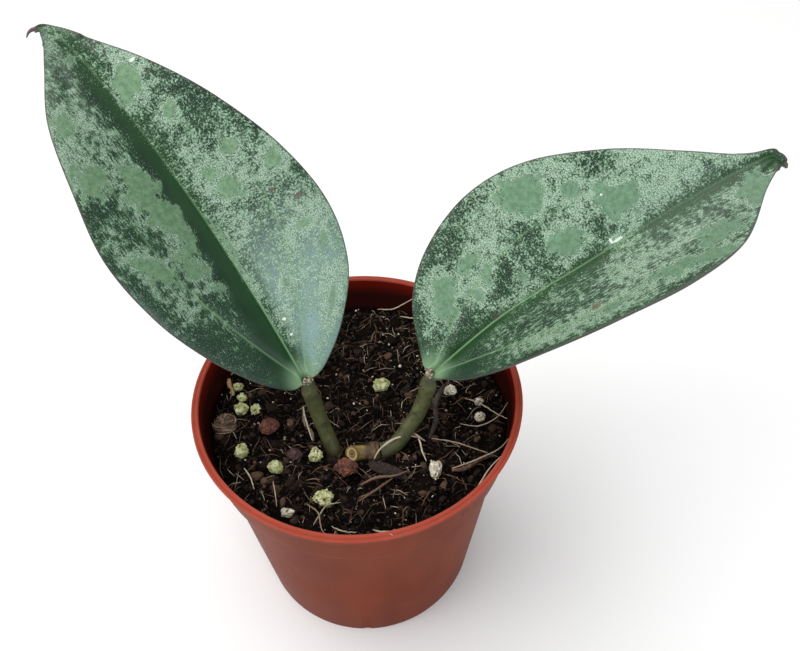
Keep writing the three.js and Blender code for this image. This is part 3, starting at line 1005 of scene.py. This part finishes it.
gland_skin = gland_finish()
fine_ball = ball_shape(3)
for leaf in (left_leaf, right_leaf):
    chance = random.Random(leaf["name"])
    middle, side, up, _ = leaf_frames(leaf, np.array([0.0, 0.02]))
    parts = []
    for i in range(11):
        ring = 0.0 if i < 2 else 1.0
        angle = 2.4 * i
        size = (0.62 if i < 2 else 0.42) * chance.uniform(0.8, 1.15)
        spot = np.array(leaf["gland"]) + side[0] * (1.15 * ring * math.cos(angle) + 0.3 * (i % 2))
        ahead = np.cross(up[0], side[0])
        spot = spot + ahead * 0.85 * ring * math.sin(angle) - up[0] * 0.25 * ring
        parts.append(((fine_ball[0] * size * (1, 1, 0.8) + spot) * MM, fine_ball[1]))
    points, faces, _ = gathered(parts)
    complete(new_piece(leaf["name"] + "_glands", points, faces), [gland_skin])

# %% [markdown]
# ## The stem
#
# The cutting's stem lies on the soil: a pale cut stub, then the dark corky node that both
# stalks grow from, and the rest goes down to the roots. The three are swept and heaped up in
# one piece. The cut end is inset and pressed in, as a dried cut shrinks.
# %% Stub, node and buried stem
cut_end = np.array([-1.7, -15.0, 71.6]) * MM
cut_facing = np.array([-0.62, -0.55, 0.56])
node_x = 4.2 * MM


def stem_finish():
    finish = Finish("stem_bark", Roughness=0.62)
    place = finish.place()
    x, y, z = finish.axes(place)
    grain = finish.noise(finish.stretch(place, (0.35, 1.0, 1.0)), 700.0, 4.0, 0.6)
    side = finish.mix(grain.rise(0.3, 0.7), colour(92, 74, 36), colour(140, 118, 62))
    away = finish.distance(place, tuple(cut_end))
    ring = (away * 5200.0).maths("SINE", away * 5200.0) * 0.5 + 0.5
    cut = finish.mix(ring, colour(96, 74, 44), colour(186, 162, 104))
    cut = finish.mix(1.0 - away.rise(0.4 * MM, 0.7 * MM), cut, colour(70, 50, 32))
    facing = [float(part) for part in cut_facing]
    depth = x * facing[0] + y * facing[1] + z * facing[2] - float(cut_end @ cut_facing)
    whole = finish.mix(depth.rise(-0.0006, -0.00045) * (1.0 - away.rise(0.0022, 0.0026)), side, cut)
    node = 1.0 - abs(x - node_x).rise(1.6 * MM, 3.0 * MM)
    whole = finish.mix(node * 0.85, whole, finish.mix(grain, colour(40, 28, 20), colour(84, 62, 38)))
    finish.feed("Base Color", whole)
    finish.bump(grain, 0.25 * MM, 0.8)
    return finish.material


stub_route = [
    (-1.7, -15.0, 71.6), (-1.0, -14.4, 71.0), (0.6, -13.9, 70.5), (4.2, -13.4, 70), (5.6, -13.3, 70),
]
node_route = [(2.6, -13.5, 70.1), (3.4, -13.45, 70), (4.2, -13.4, 70), (5.0, -13.35, 70), (6.0, -13.3, 70.1)]
buried_route = [(4.2, -13.4, 70), (4.4, -12.6, 63), (2.6, -10.6, 54), (0.6, -8, 46)]
stem_parts = [
    swept(np.array(stub_route) * MM, np.array([2.2, 2.15, 2.05, 2.1, 2.3, 2.2]) * MM, 40, 60),
    swept(np.array(node_route) * MM, np.array([2.1, 2.75, 2.95, 2.7, 2.2]) * MM, 40, 30),
    swept(np.array(buried_route) * MM, np.array([2.2, 2.1, 2.0, 1.9]) * MM, 24, 40),
]
points, faces, owner = gathered(stem_parts)
stem = new_piece("stem_and_node", points, faces)
rough = 0.16 * MM * lumps(points, 1.1 * MM, 6, 2) * np.where(owner == 1, 1.6, 0.6)
middle = np.array([3.0, -13.5, 70.1]) * MM
outward = (points - middle) * (0, 1, 1) * ((owner < 2) & (points[:, 0] > 0))[:, None]
outward /= np.maximum(np.linalg.norm(outward, axis=1), 1e-9)[:, None]
move_points(stem, points + outward * rough[:, None])


def select_cut_end(piece):
    for face in piece.data.polygons:
        near = (np.array(face.center) - cut_end) @ cut_facing > -0.7 * MM
        face.select = bool(near and np.array(face.normal) @ cut_facing > 0.75)


pick(stem)
bpy.ops.object.mode_set(mode="EDIT")
bpy.ops.mesh.select_mode(type="FACE")
bpy.ops.mesh.select_all(action="DESELECT")
bpy.ops.object.mode_set(mode="OBJECT")
select_cut_end(stem)
bpy.ops.object.mode_set(mode="EDIT")
bpy.ops.mesh.inset(thickness=0.3 * MM)
bpy.ops.transform.translate(value=tuple(-0.25 * MM * cut_facing))
bpy.ops.object.mode_set(mode="OBJECT")
complete(stem, [stem_finish()], ["stem"])


# %% [markdown]
# ## The bed of soil
#
# Peat mix settles into a rough bed that is lower against the wall and between the stalks. A
# plug is spun from its outline, with many rings on top, and the top is raised and lowered by
# noise of three sizes. The same height rule later sets every crumb and fibre on the surface.
# %% Soil bed
soil_level = 70 * MM
soil_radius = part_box("soil")[1].x - 0.1 * MM
bed_reach = 41 * MM


def plain_soil_height(x, y):
    """The smooth bed in mm, as the plain solid has it."""
    swell = 0.5 * np.sin(x / 7 + 1) * np.cos(y / 6) + 0.35 * np.sin((x + 2 * y) / 5)
    hollow = 2.2 * np.exp(-((x + 1) ** 2 + (y + 5) ** 2) / 70)
    edge = 1.2 * np.exp((np.hypot(x, y) - 41) / 3)
    return 70 + swell - hollow - edge


def soil_height(points):
    """The rough bed's height in metres at places given by x and y."""
    flat = np.array(points, float)
    flat[:, 2] = 0
    x, y = flat[:, 0] / MM, flat[:, 1] / MM
    rough = 0.75 * lumps(flat, 6 * MM, 1, 2) + 0.5 * lumps(flat, 2.2 * MM, 2, 2)
    pits = 0.8 * np.clip(lumps(flat, 3.2 * MM, 9) - 0.35, 0, 1)
    return (plain_soil_height(x, y) + rough - pits) * MM


def soil_finish():
    finish = Finish("peat", Roughness=0.95, Specular_IOR_Level=0.05)
    place = finish.place()
    broad = finish.noise(place, 160.0, 3.0, 0.6)
    fine = finish.noise(place, 1400.0, 5.0, 0.72)
    peat = finish.mix(broad.rise(0.35, 0.65), colour(8, 6, 6), colour(20, 15, 13))
    peat = finish.mix(fine.rise(0.56, 0.7), peat, colour(60, 46, 38))
    moss = finish.noise(place, 210.0, 2.0).rise(0.66, 0.74) * fine.rise(0.45, 0.55)
    peat = finish.mix(moss * 0.5, peat, colour(62, 62, 30))
    finish.feed("Base Color", peat)
    finish.bump(fine + broad, 0.8 * MM, 1.0)
    return finish.material


def soil_outline():
    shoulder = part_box("soil")[1].x - 2.2 * MM
    rings = [(radius, soil_level) for radius in np.linspace(soil_radius, 0.3 * MM, 116)]
    bottom = [(0, 3.35 * MM), (32.9 * MM, 3.35 * MM)]
    side = [(38.8 * MM, 62 * MM), (shoulder + 1.3 * MM, 64.8 * MM), (soil_radius - 0.1 * MM, 68.2 * MM)]
    return bottom + side + rings + [(0, soil_level)]


peat = soil_finish()
soil = spin_outline("soil_bed", soil_outline(), 360)
points = points_of(soil)
top = points[:, 2] > soil_level - 0.5 * MM
points[top, 2] = soil_height(points[top])
move_points(soil, points)
complete(soil, [peat], ["soil"])


# %% [markdown]
# ## Crumbs
#
# Noise alone looks like dough. Peat is made of crumbs, so a few lumpy shapes of only twenty or
# eighty faces are copied all over the bed, turned and sized at random. Each copy keeps a random
# tone, which its material turns into near black, brown or tan.
# %% Scatter crumbs and grit
def rough_shapes(subdivisions, count, depth):
    points, faces = ball_shape(subdivisions)
    shapes = []
    for seed in range(count):
        swell = 1 + depth * lumps(points, 0.9, 20 + seed, 2)
        shapes.append((points * swell[:, None], faces))
    return shapes


def turned(points, chance):
    angle = chance.uniform(0, 2 * math.pi)
    axis = (chance.gauss(0, 1), chance.gauss(0, 1), chance.gauss(0, 1))
    return points @ np.array(Matrix.Rotation(angle, 3, axis)).T


def spots_on_soil(chance, count, reach):
    spots = np.zeros((count, 3))
    for spot in spots:
        radius = reach * math.sqrt(chance.random())
        angle = chance.uniform(0, 2 * math.pi)
        spot[:2] = radius * math.cos(angle), radius * math.sin(angle)
    spots[:, 2] = soil_height(spots)
    return spots


def scatter(name, seed, count, shapes, sizes, sink, tones, finish):
    """Copies of rough shapes lying on the soil. Sizes and tones are (low, high)."""
    chance = random.Random(seed)
    parts, shades = [], []
    for spot in spots_on_soil(chance, count, 40.6 * MM):
        points, faces = chance.choice(shapes)
        size = sizes[0] + (sizes[1] - sizes[0]) * chance.random() ** 2.5
        squash = np.array([1, chance.uniform(0.6, 1), chance.uniform(0.45, 0.9)])
        placed = turned(points * squash, chance) * size * MM + spot
        placed[:, 2] += size * MM * (0.35 - sink)
        parts.append((placed, faces))
        shades.append(chance.uniform(*tones))
    join_toned(name, parts, shades, finish)


def crumb_finish():
    finish = Finish("crumbs", Roughness=0.9, Specular_IOR_Level=0.1)
    tone = finish.attribute("tone")
    fine = finish.noise(finish.place(), 1600.0, 4.0, 0.7)
    crumb = finish.mix(tone.rise(0.0, 0.65), colour(10, 8, 7), colour(42, 32, 27))
    crumb = finish.mix(tone.rise(0.65, 1.0), crumb, colour(104, 80, 64))
    crumb = finish.mix(fine.rise(0.54, 0.7) * 0.6, crumb, colour(92, 74, 62))
    finish.feed("Base Color", crumb)
    finish.bump(fine, 0.3 * MM, 1.0)
    return finish.material


def grit_finish():
    finish = Finish("grit", Roughness=0.75)
    tone = finish.attribute("tone")
    fine = finish.noise(finish.place(), 1800.0, 3.0, 0.6)
    stone = finish.mix(tone, colour(120, 98, 78), colour(222, 216, 200))
    finish.feed("Base Color", finish.mix(fine.rise(0.55, 0.75) * 0.5, stone, colour(110, 96, 80)))
    finish.bump(fine, 0.1 * MM, 0.8)
    return finish.material


crumb_skin = crumb_finish()
small_shapes = rough_shapes(1, 6, 0.35)
large_shapes = rough_shapes(2, 6, 0.3)
scatter("peat_crumbs", 11, 4200, small_shapes, (0.22, 0.9), 0.2, (0, 0.85), crumb_skin)
scatter("peat_lumps", 12, 480, large_shapes, (0.6, 1.9), 0.45, (0, 0.9), crumb_skin)
scatter("pale_grit", 13, 380, small_shapes, (0.12, 0.5), 0.0, (0.2, 1), grit_finish())


# %% [markdown]
# ## Fibres
#
# Coir and root hairs lie all over the bed, mostly flat, some arched. Each is a thin closed tube
# through a wandering line of points, set at the soil's height. Five sides are enough at this
# size. Their tone goes from dark brown to straw.
# %% Loose fibres
def fibre(chance, start, heading, length, radius, lift, bend):
    points = []
    x, y = start
    steps = 6
    for _ in range(steps):
        points.append((x, y, 0))
        heading += chance.gauss(0, bend)
        x += math.cos(heading) * length / (steps - 1)
        y += math.sin(heading) * length / (steps - 1)
        reach = math.hypot(x, y)
        if reach > bed_reach:
            x, y = x * bed_reach / reach, y * bed_reach / reach
    points = np.array(points)
    rise = lift * np.sin(np.linspace(0, math.pi, steps)) ** 1.5
    ground = soil_height(points)
    points[:, 2] = np.maximum(ground, ground[steps // 2] - 0.6 * MM) + radius + rise
    return swept(points, [0.5 * radius, radius, radius, 0.4 * radius], 5, 9)


def fibre_finish():
    finish = Finish("fibres", Roughness=0.7)
    tone = finish.attribute("tone")
    grain = finish.noise(finish.place(), 1300.0, 3.0, 0.6)
    straw = finish.mix(tone.rise(0.0, 0.55), colour(52, 34, 26), colour(118, 88, 66))
    straw = finish.mix(tone.rise(0.55, 1.0), straw, colour(198, 184, 160))
    finish.feed("Base Color", finish.mix(grain.rise(0.5, 0.75) * 0.5, straw, colour(60, 44, 34)))
    finish.bump(grain, 0.05 * MM, 0.6)
    return finish.material


fibre_skin = fibre_finish()


def lay_fibres(name, seed, count, lengths, radii, lifts, tones):
    chance = random.Random(seed)
    parts, shades = [], []
    for spot in spots_on_soil(chance, count, 40 * MM):
        length = chance.uniform(*lengths) * MM
        radius = chance.uniform(*radii) * MM
        lift = chance.uniform(*lifts) * MM
        parts.append(fibre(chance, spot[:2], chance.uniform(0, 6.28), length, radius, lift, 0.17))
        shades.append(chance.uniform(*tones))
    join_toned(name, parts, shades, fibre_skin)


lay_fibres("brown_fibres", 21, 330, (1.8, 7), (0.05, 0.12), (0.1, 0.9), (0, 0.6))
lay_fibres("pale_fibres", 22, 230, (1.2, 6.5), (0.05, 0.1), (0.1, 1.2), (0.5, 1))


# %% [markdown]
# ## Roots and strands that stand out
#
# A few strands are big enough to be placed one by one: pale roots that curl over the foot of
# the right stalk, long fibres on the right of the bed, and a tuft caught on the front rim.
# %% Placed strands
# Each strand: its points in mm, its radius in mm and its tone.
strands = [
    ([(4.4, -16.6, 71.4), (6.0, -14.6, 73.0), (9.5, -12.6, 74.6), (13.5, -11.6, 74.8), (16.6, -11.2, 73)],
     0.3, 0.85),
    ([(16.2, -10.6, 73.4), (16.8, -12.8, 73.2), (17.4, -15.4, 72.4), (18.4, -17.6, 71.5)], 0.26, 0.9),
    ([(14.6, -10.0, 74.2), (16.6, -11.4, 73.8), (18.2, -11.8, 72.4)], 0.34, 0.8),
    ([(20.0, -11.0, 72.4), (26.0, -12.4, 72.6), (33.0, -15.0, 72.2), (37.5, -16.8, 71.8)], 0.2, 0.75),
    ([(25.0, -20.2, 71.9), (31.0, -18.2, 72.4), (37.5, -15.6, 73.6), (40.4, -13.4, 75.4)], 0.24, 0.8),
    ([(29.0, -29.0, 71.2), (31.5, -26.0, 72.4), (34.6, -21.6, 73.6), (38.4, -18.4, 75.6)], 0.24, 0.9),
    ([(30.0, 3.0, 71.6), (34.5, 0.0, 72.6), (38.0, -4.0, 73.8), (40.6, -7.6, 76.2)], 0.2, 0.85),
    ([(28.0, -6.0, 72.0), (33.0, -7.5, 73.0), (38.0, -6.0, 74.8), (41.0, -3.0, 77.4)], 0.18, 0.8),
    ([(-15.6, 0.4, 72.6), (-14.6, -4.0, 72.6), (-12.4, -10.8, 72.2)], 0.28, 0.95),
    ([(-30.0, -19.0, 71.8), (-28.0, -22.0, 72.2), (-26.6, -25.4, 71.8)], 0.24, 0.85),
    ([(-22.0, -23.0, 71.6), (-21.0, -27.0, 72.0), (-20.4, -30.4, 71.4)], 0.2, 0.8),
    ([(1.0, -24.8, 72.0), (5.0, -23.2, 72.8), (10.0, -22.4, 72.4), (13.4, -20.6, 71.8)], 0.42, 0.42),
    ([(0.6, -29.2, 71.4), (5.6, -26.0, 72.2), (9.4, -23.0, 72.2)], 0.34, 0.38),
    ([(-10.8, -35.6, 71.0), (-9.0, -33.0, 72.2), (-7.4, -30.6, 72.0), (-4.0, -29.6, 71.6)], 0.2, 0.8),
    ([(-12.6, -30.0, 71.6), (-9.6, -33.0, 72.6), (-8.4, -37.4, 72.0), (-5.6, -40.2, 71.4)], 0.2, 0.7),
    ([(-6.0, -36.4, 71.6), (-3.2, -38.0, 72.2), (0.2, -38.2, 71.8)], 0.2, 0.85),
    ([(4.2, -36.8, 70.4), (6.2, -39.6, 74.6), (9.2, -41.0, 77.4), (13.0, -40.6, 77.6)], 0.26, 0.9),
    ([(5.6, -37.4, 70.4), (7.2, -40.6, 75.6), (8.6, -42.8, 79.6), (9.4, -43.6, 80.4)], 0.22, 0.85),
    ([(9.0, -37.2, 70.4), (9.4, -40.4, 76.0), (11.0, -42.6, 79.8), (11.4, -43.8, 80.3)], 0.2, 0.6),
    ([(6.4, -38.0, 70.6), (11.0, -40.0, 76.2), (15.0, -40.0, 76.0), (17.6, -37.4, 70.6)], 0.24, 0.95),
    ([(-37.4, 12.0, 72.6), (-34.6, 14.6, 73.0), (-30.8, 16.0, 72.4)], 0.24, 0.7),
    ([(12.0, 34.6, 72.0), (17.0, 32.4, 73.4), (21.6, 32.0, 74.6), (25.6, 33.2, 76.8)], 0.24, 0.85),
    ([(5.0, 38.0, 71.8), (9.6, 36.4, 73.4), (14.4, 37.4, 75.6), (17.6, 37.8, 77.8)], 0.2, 0.9),
]


def place_strands():
    parts = []
    for route, radius, _ in strands:
        width = radius * MM
        parts.append(swept(np.array(route) * MM, [0.5 * width, width, 0.8 * width, 0.4 * width], 8, 26))
    points, faces, owner = gathered(parts)
    points = points + (0.1 * MM * lumps(points, 0.8 * MM, 5))[:, None] * (0.4, 0.4, 1)
    piece = new_piece("root_strands", points, faces)
    store(piece, "tone", np.array([tone for _, _, tone in strands])[owner])
    complete(piece, [fibre_skin])


place_strands()


# %% [markdown]
# ## Perlite
#
# Perlite is puffed glass: a light popcorn of lobes and pits, which algae here has turned yellow
# green. Each grain starts as a fine ball in its solid's box, swollen into lobes and pitted by
# noise, and pushed in where the noise is low. The pits' shade is painted in as a dark colour.
# %% Perlite grains
def perlite_finish(name, light, deep):
    finish = Finish(name, Roughness=0.8)
    place = finish.place()
    lobes = finish.noise(place, 620.0, 3.0, 0.6)
    fine = finish.noise(place, 2400.0, 3.0, 0.6)
    grain = finish.mix(lobes.rise(0.4, 0.62), deep, light)
    # Painted shade: the pits are mixed to a dark olive.
    grain = finish.mix(finish.attribute("pit"), grain, colour(52, 46, 24))
    finish.feed("Base Color", finish.mix(fine.rise(0.6, 0.7) * 0.5, grain, colour(240, 240, 220)))
    finish.bump(lobes + fine * 0.4, 0.3 * MM, 0.8)
    return finish.material


def lumpy_grain(name, node, finish, seed, lobes=0.2, turn=0.0, half=None):
    low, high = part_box(node)
    centre = np.array((low + high) / 2)
    half = np.array((high - low) / 2) if half is None else np.array(half) * MM
    points, faces = ball_shape(5)
    swell = lobes * lumps(points, 0.75, seed, 3)
    pits = np.clip(-1.3 * lumps(points, 0.5, seed + 40, 2) - 0.45, 0, 1)
    grit = 0.07 * lumps(points, 0.22, seed + 9, 2)
    shaped = points * (0.98 + swell + grit - 0.35 * pits)[:, None] * half
    turn = np.array(Matrix.Rotation(math.radians(turn), 3, "Z"))
    piece = new_piece(name, shaped @ turn.T + centre, faces)
    store(piece, "pit", pits)
    complete(piece, [finish], [node])


algae_perlite = perlite_finish("algae_perlite", colour(204, 206, 162), colour(146, 148, 88))
clean_perlite = perlite_finish("clean_perlite", colour(226, 222, 206), colour(176, 164, 140))
for i in range(1, 15):
    grain_skin = algae_perlite if i < 10 else clean_perlite
    lumpy_grain(f"perlite_grain_{i:02d}", f"perlite_{i:02d}", grain_skin, 60 + i)


# %% [markdown]
# ## Bark chips and the coir ball
#
# The chips are rounded pieces of red-brown bark, grained and cracked, and one long flat dark
# one. They are made as the grains are, with less swell, and keep the turn of their solids. The
# first is not bark but a ball of coir, so it is wrapped in short fibres.
# %% Bark
def bark_finish(name, light, deep):
    finish = Finish(name, Roughness=0.88)
    place = finish.place()
    grain = finish.noise(finish.stretch(place, (1.0, 1.6, 1.0)), 520.0, 5.0, 0.68)
    cracks = 1.0 - finish.cells(place, 620.0, "DISTANCE_TO_EDGE").rise(0.02, 0.12)
    bark = finish.mix(grain.rise(0.35, 0.65), deep, light)
    finish.feed("Base Color", finish.mix(cracks * 0.5, bark, colour(34, 22, 18)))
    finish.bump(grain - cracks * 0.5, 0.4 * MM, 1.0)
    return finish.material


red_bark = bark_finish("red_bark", colour(134, 78, 60), colour(74, 42, 34))
plum_bark = bark_finish("plum_bark", colour(96, 66, 66), colour(56, 38, 38))
dark_bark = bark_finish("dark_bark", colour(58, 44, 40), colour(30, 22, 20))
coir = bark_finish("coir", colour(128, 104, 88), colour(70, 52, 44))
bark_chips = [
    (coir, 0.14, 0, (2.9, 2.7, 2.0)),
    (red_bark, 0.13, 20, (2.9, 2.3, 1.8)),
    (plum_bark, 0.13, -20, (2.2, 1.8, 1.4)),
    (red_bark, 0.13, -12, (3.2, 2.4, 1.7)),
    (dark_bark, 0.1, -22, (5.6, 1.7, 0.9)),
]
for i, (bark, lobes, turn, half) in enumerate(bark_chips, 1):
    lumpy_grain(f"bark_{i:02d}", f"bark_chip_{i:02d}", bark, 80 + i, lobes, turn, half)


def wrap_coir():
    chance = random.Random(31)
    low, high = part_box("bark_chip_01")
    centre = np.array((low + high) / 2)
    parts, shades = [], []
    for _ in range(130):
        axis = np.array([chance.gauss(0, 1), chance.gauss(0, 1), chance.gauss(0, 1)])
        axis /= np.linalg.norm(axis)
        side = np.cross(axis, (0.2, 0.5, 0.84))
        side /= np.linalg.norm(side)
        span = np.linspace(-0.7, 0.7, 5) * chance.uniform(0.5, 1.1)
        shell = np.outer(np.cos(span), axis) + np.outer(np.sin(span), side)
        shell *= np.linspace(1.0, chance.uniform(1.05, 1.3), 5)[:, None]
        parts.append(centre + shell * np.array([2.9, 2.7, 2.1]) * MM)
        shades.append(chance.uniform(0.2, 0.95))
    made = [swept(part, [0.05 * MM, 0.09 * MM, 0.05 * MM], 5, 8) for part in parts]
    join_toned("coir_wrap", made, shades, fibre_skin)


wrap_coir()


# %% [markdown]
# ## Twigs
#
# Four bits of twig lie or lean in the mix. Each is swept between the ends of its solid with a
# slight bend, knobbly from noise, and has its own tone of bark.
# %% Twigs
def twig_finish(name, light, deep):
    finish = Finish(name, Roughness=0.82)
    place = finish.place()
    grain = finish.noise(finish.stretch(place, (1.0, 0.3, 0.6)), 900.0, 4.0, 0.65)
    finish.feed("Base Color", finish.mix(grain.rise(0.35, 0.65), deep, light))
    finish.bump(grain, 0.2 * MM, 0.9)
    return finish.material


dark_twig = twig_finish("dark_twig", colour(66, 54, 48), colour(30, 24, 22))
grey_twig = twig_finish("grey_twig", colour(128, 112, 96), colour(74, 60, 50))
ochre_twig = twig_finish("ochre_twig", colour(168, 134, 92), colour(98, 72, 46))
brown_twig = twig_finish("brown_twig", colour(120, 84, 64), colour(62, 42, 32))
# Each twig: its two ends and its radius in mm, and its bark.
twigs = [
    ((24.2, 5.4, 75), (19.4, -9.6, 70.4), 0.75, dark_twig),
    ((-15.6, -0.6, 71.6), (-12.2, -10.4, 71.2), 0.45, grey_twig),
    ((-37.6, 10.4, 73), (-36, 5.4, 71.4), 0.65, ochre_twig),
    ((25, -20.6, 71.4), (36.4, -16.4, 72), 0.6, brown_twig),
]
for i, (start, end, radius, bark) in enumerate(twigs, 1):
    start, end = np.array(start, float), np.array(end, float)
    run = end - start
    bend = 0.06 * np.cross(run, (0, 0, 1))
    route = np.array([start, start + 0.35 * run + bend, start + 0.7 * run - 0.5 * bend, end])
    points, faces = swept(route * MM, np.array([0.7, 1.1, 0.9, 1.0, 0.6]) * radius * MM, 12, 40)
    points = points + (0.16 * MM * lumps(points, 1.0 * MM, 50 + i, 2))[:, None] * (0.5, 0.5, 1)
    complete(new_piece(f"twig_{i:02d}_bark", points, faces), [bark], [f"twig_{i:02d}"])

# %% [markdown]
# ## The buried roots
#
# The roots stay as the plain solids have them, since the soil hides them all. They still get
# a root's finish, so that nothing in the model is left plain.
# %% Root finish
def root_finish():
    finish = Finish("root_skin", Roughness=0.8)
    grain = finish.noise(finish.place(), 500.0, 4.0, 0.6)
    finish.feed("Base Color", finish.mix(grain.rise(0.35, 0.65), colour(120, 96, 66), colour(190, 168, 132)))
    finish.bump(grain, 0.2 * MM, 0.8)
    return finish.material


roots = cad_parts["roots"]
roots.data.materials.clear()
roots.data.materials.append(root_finish())
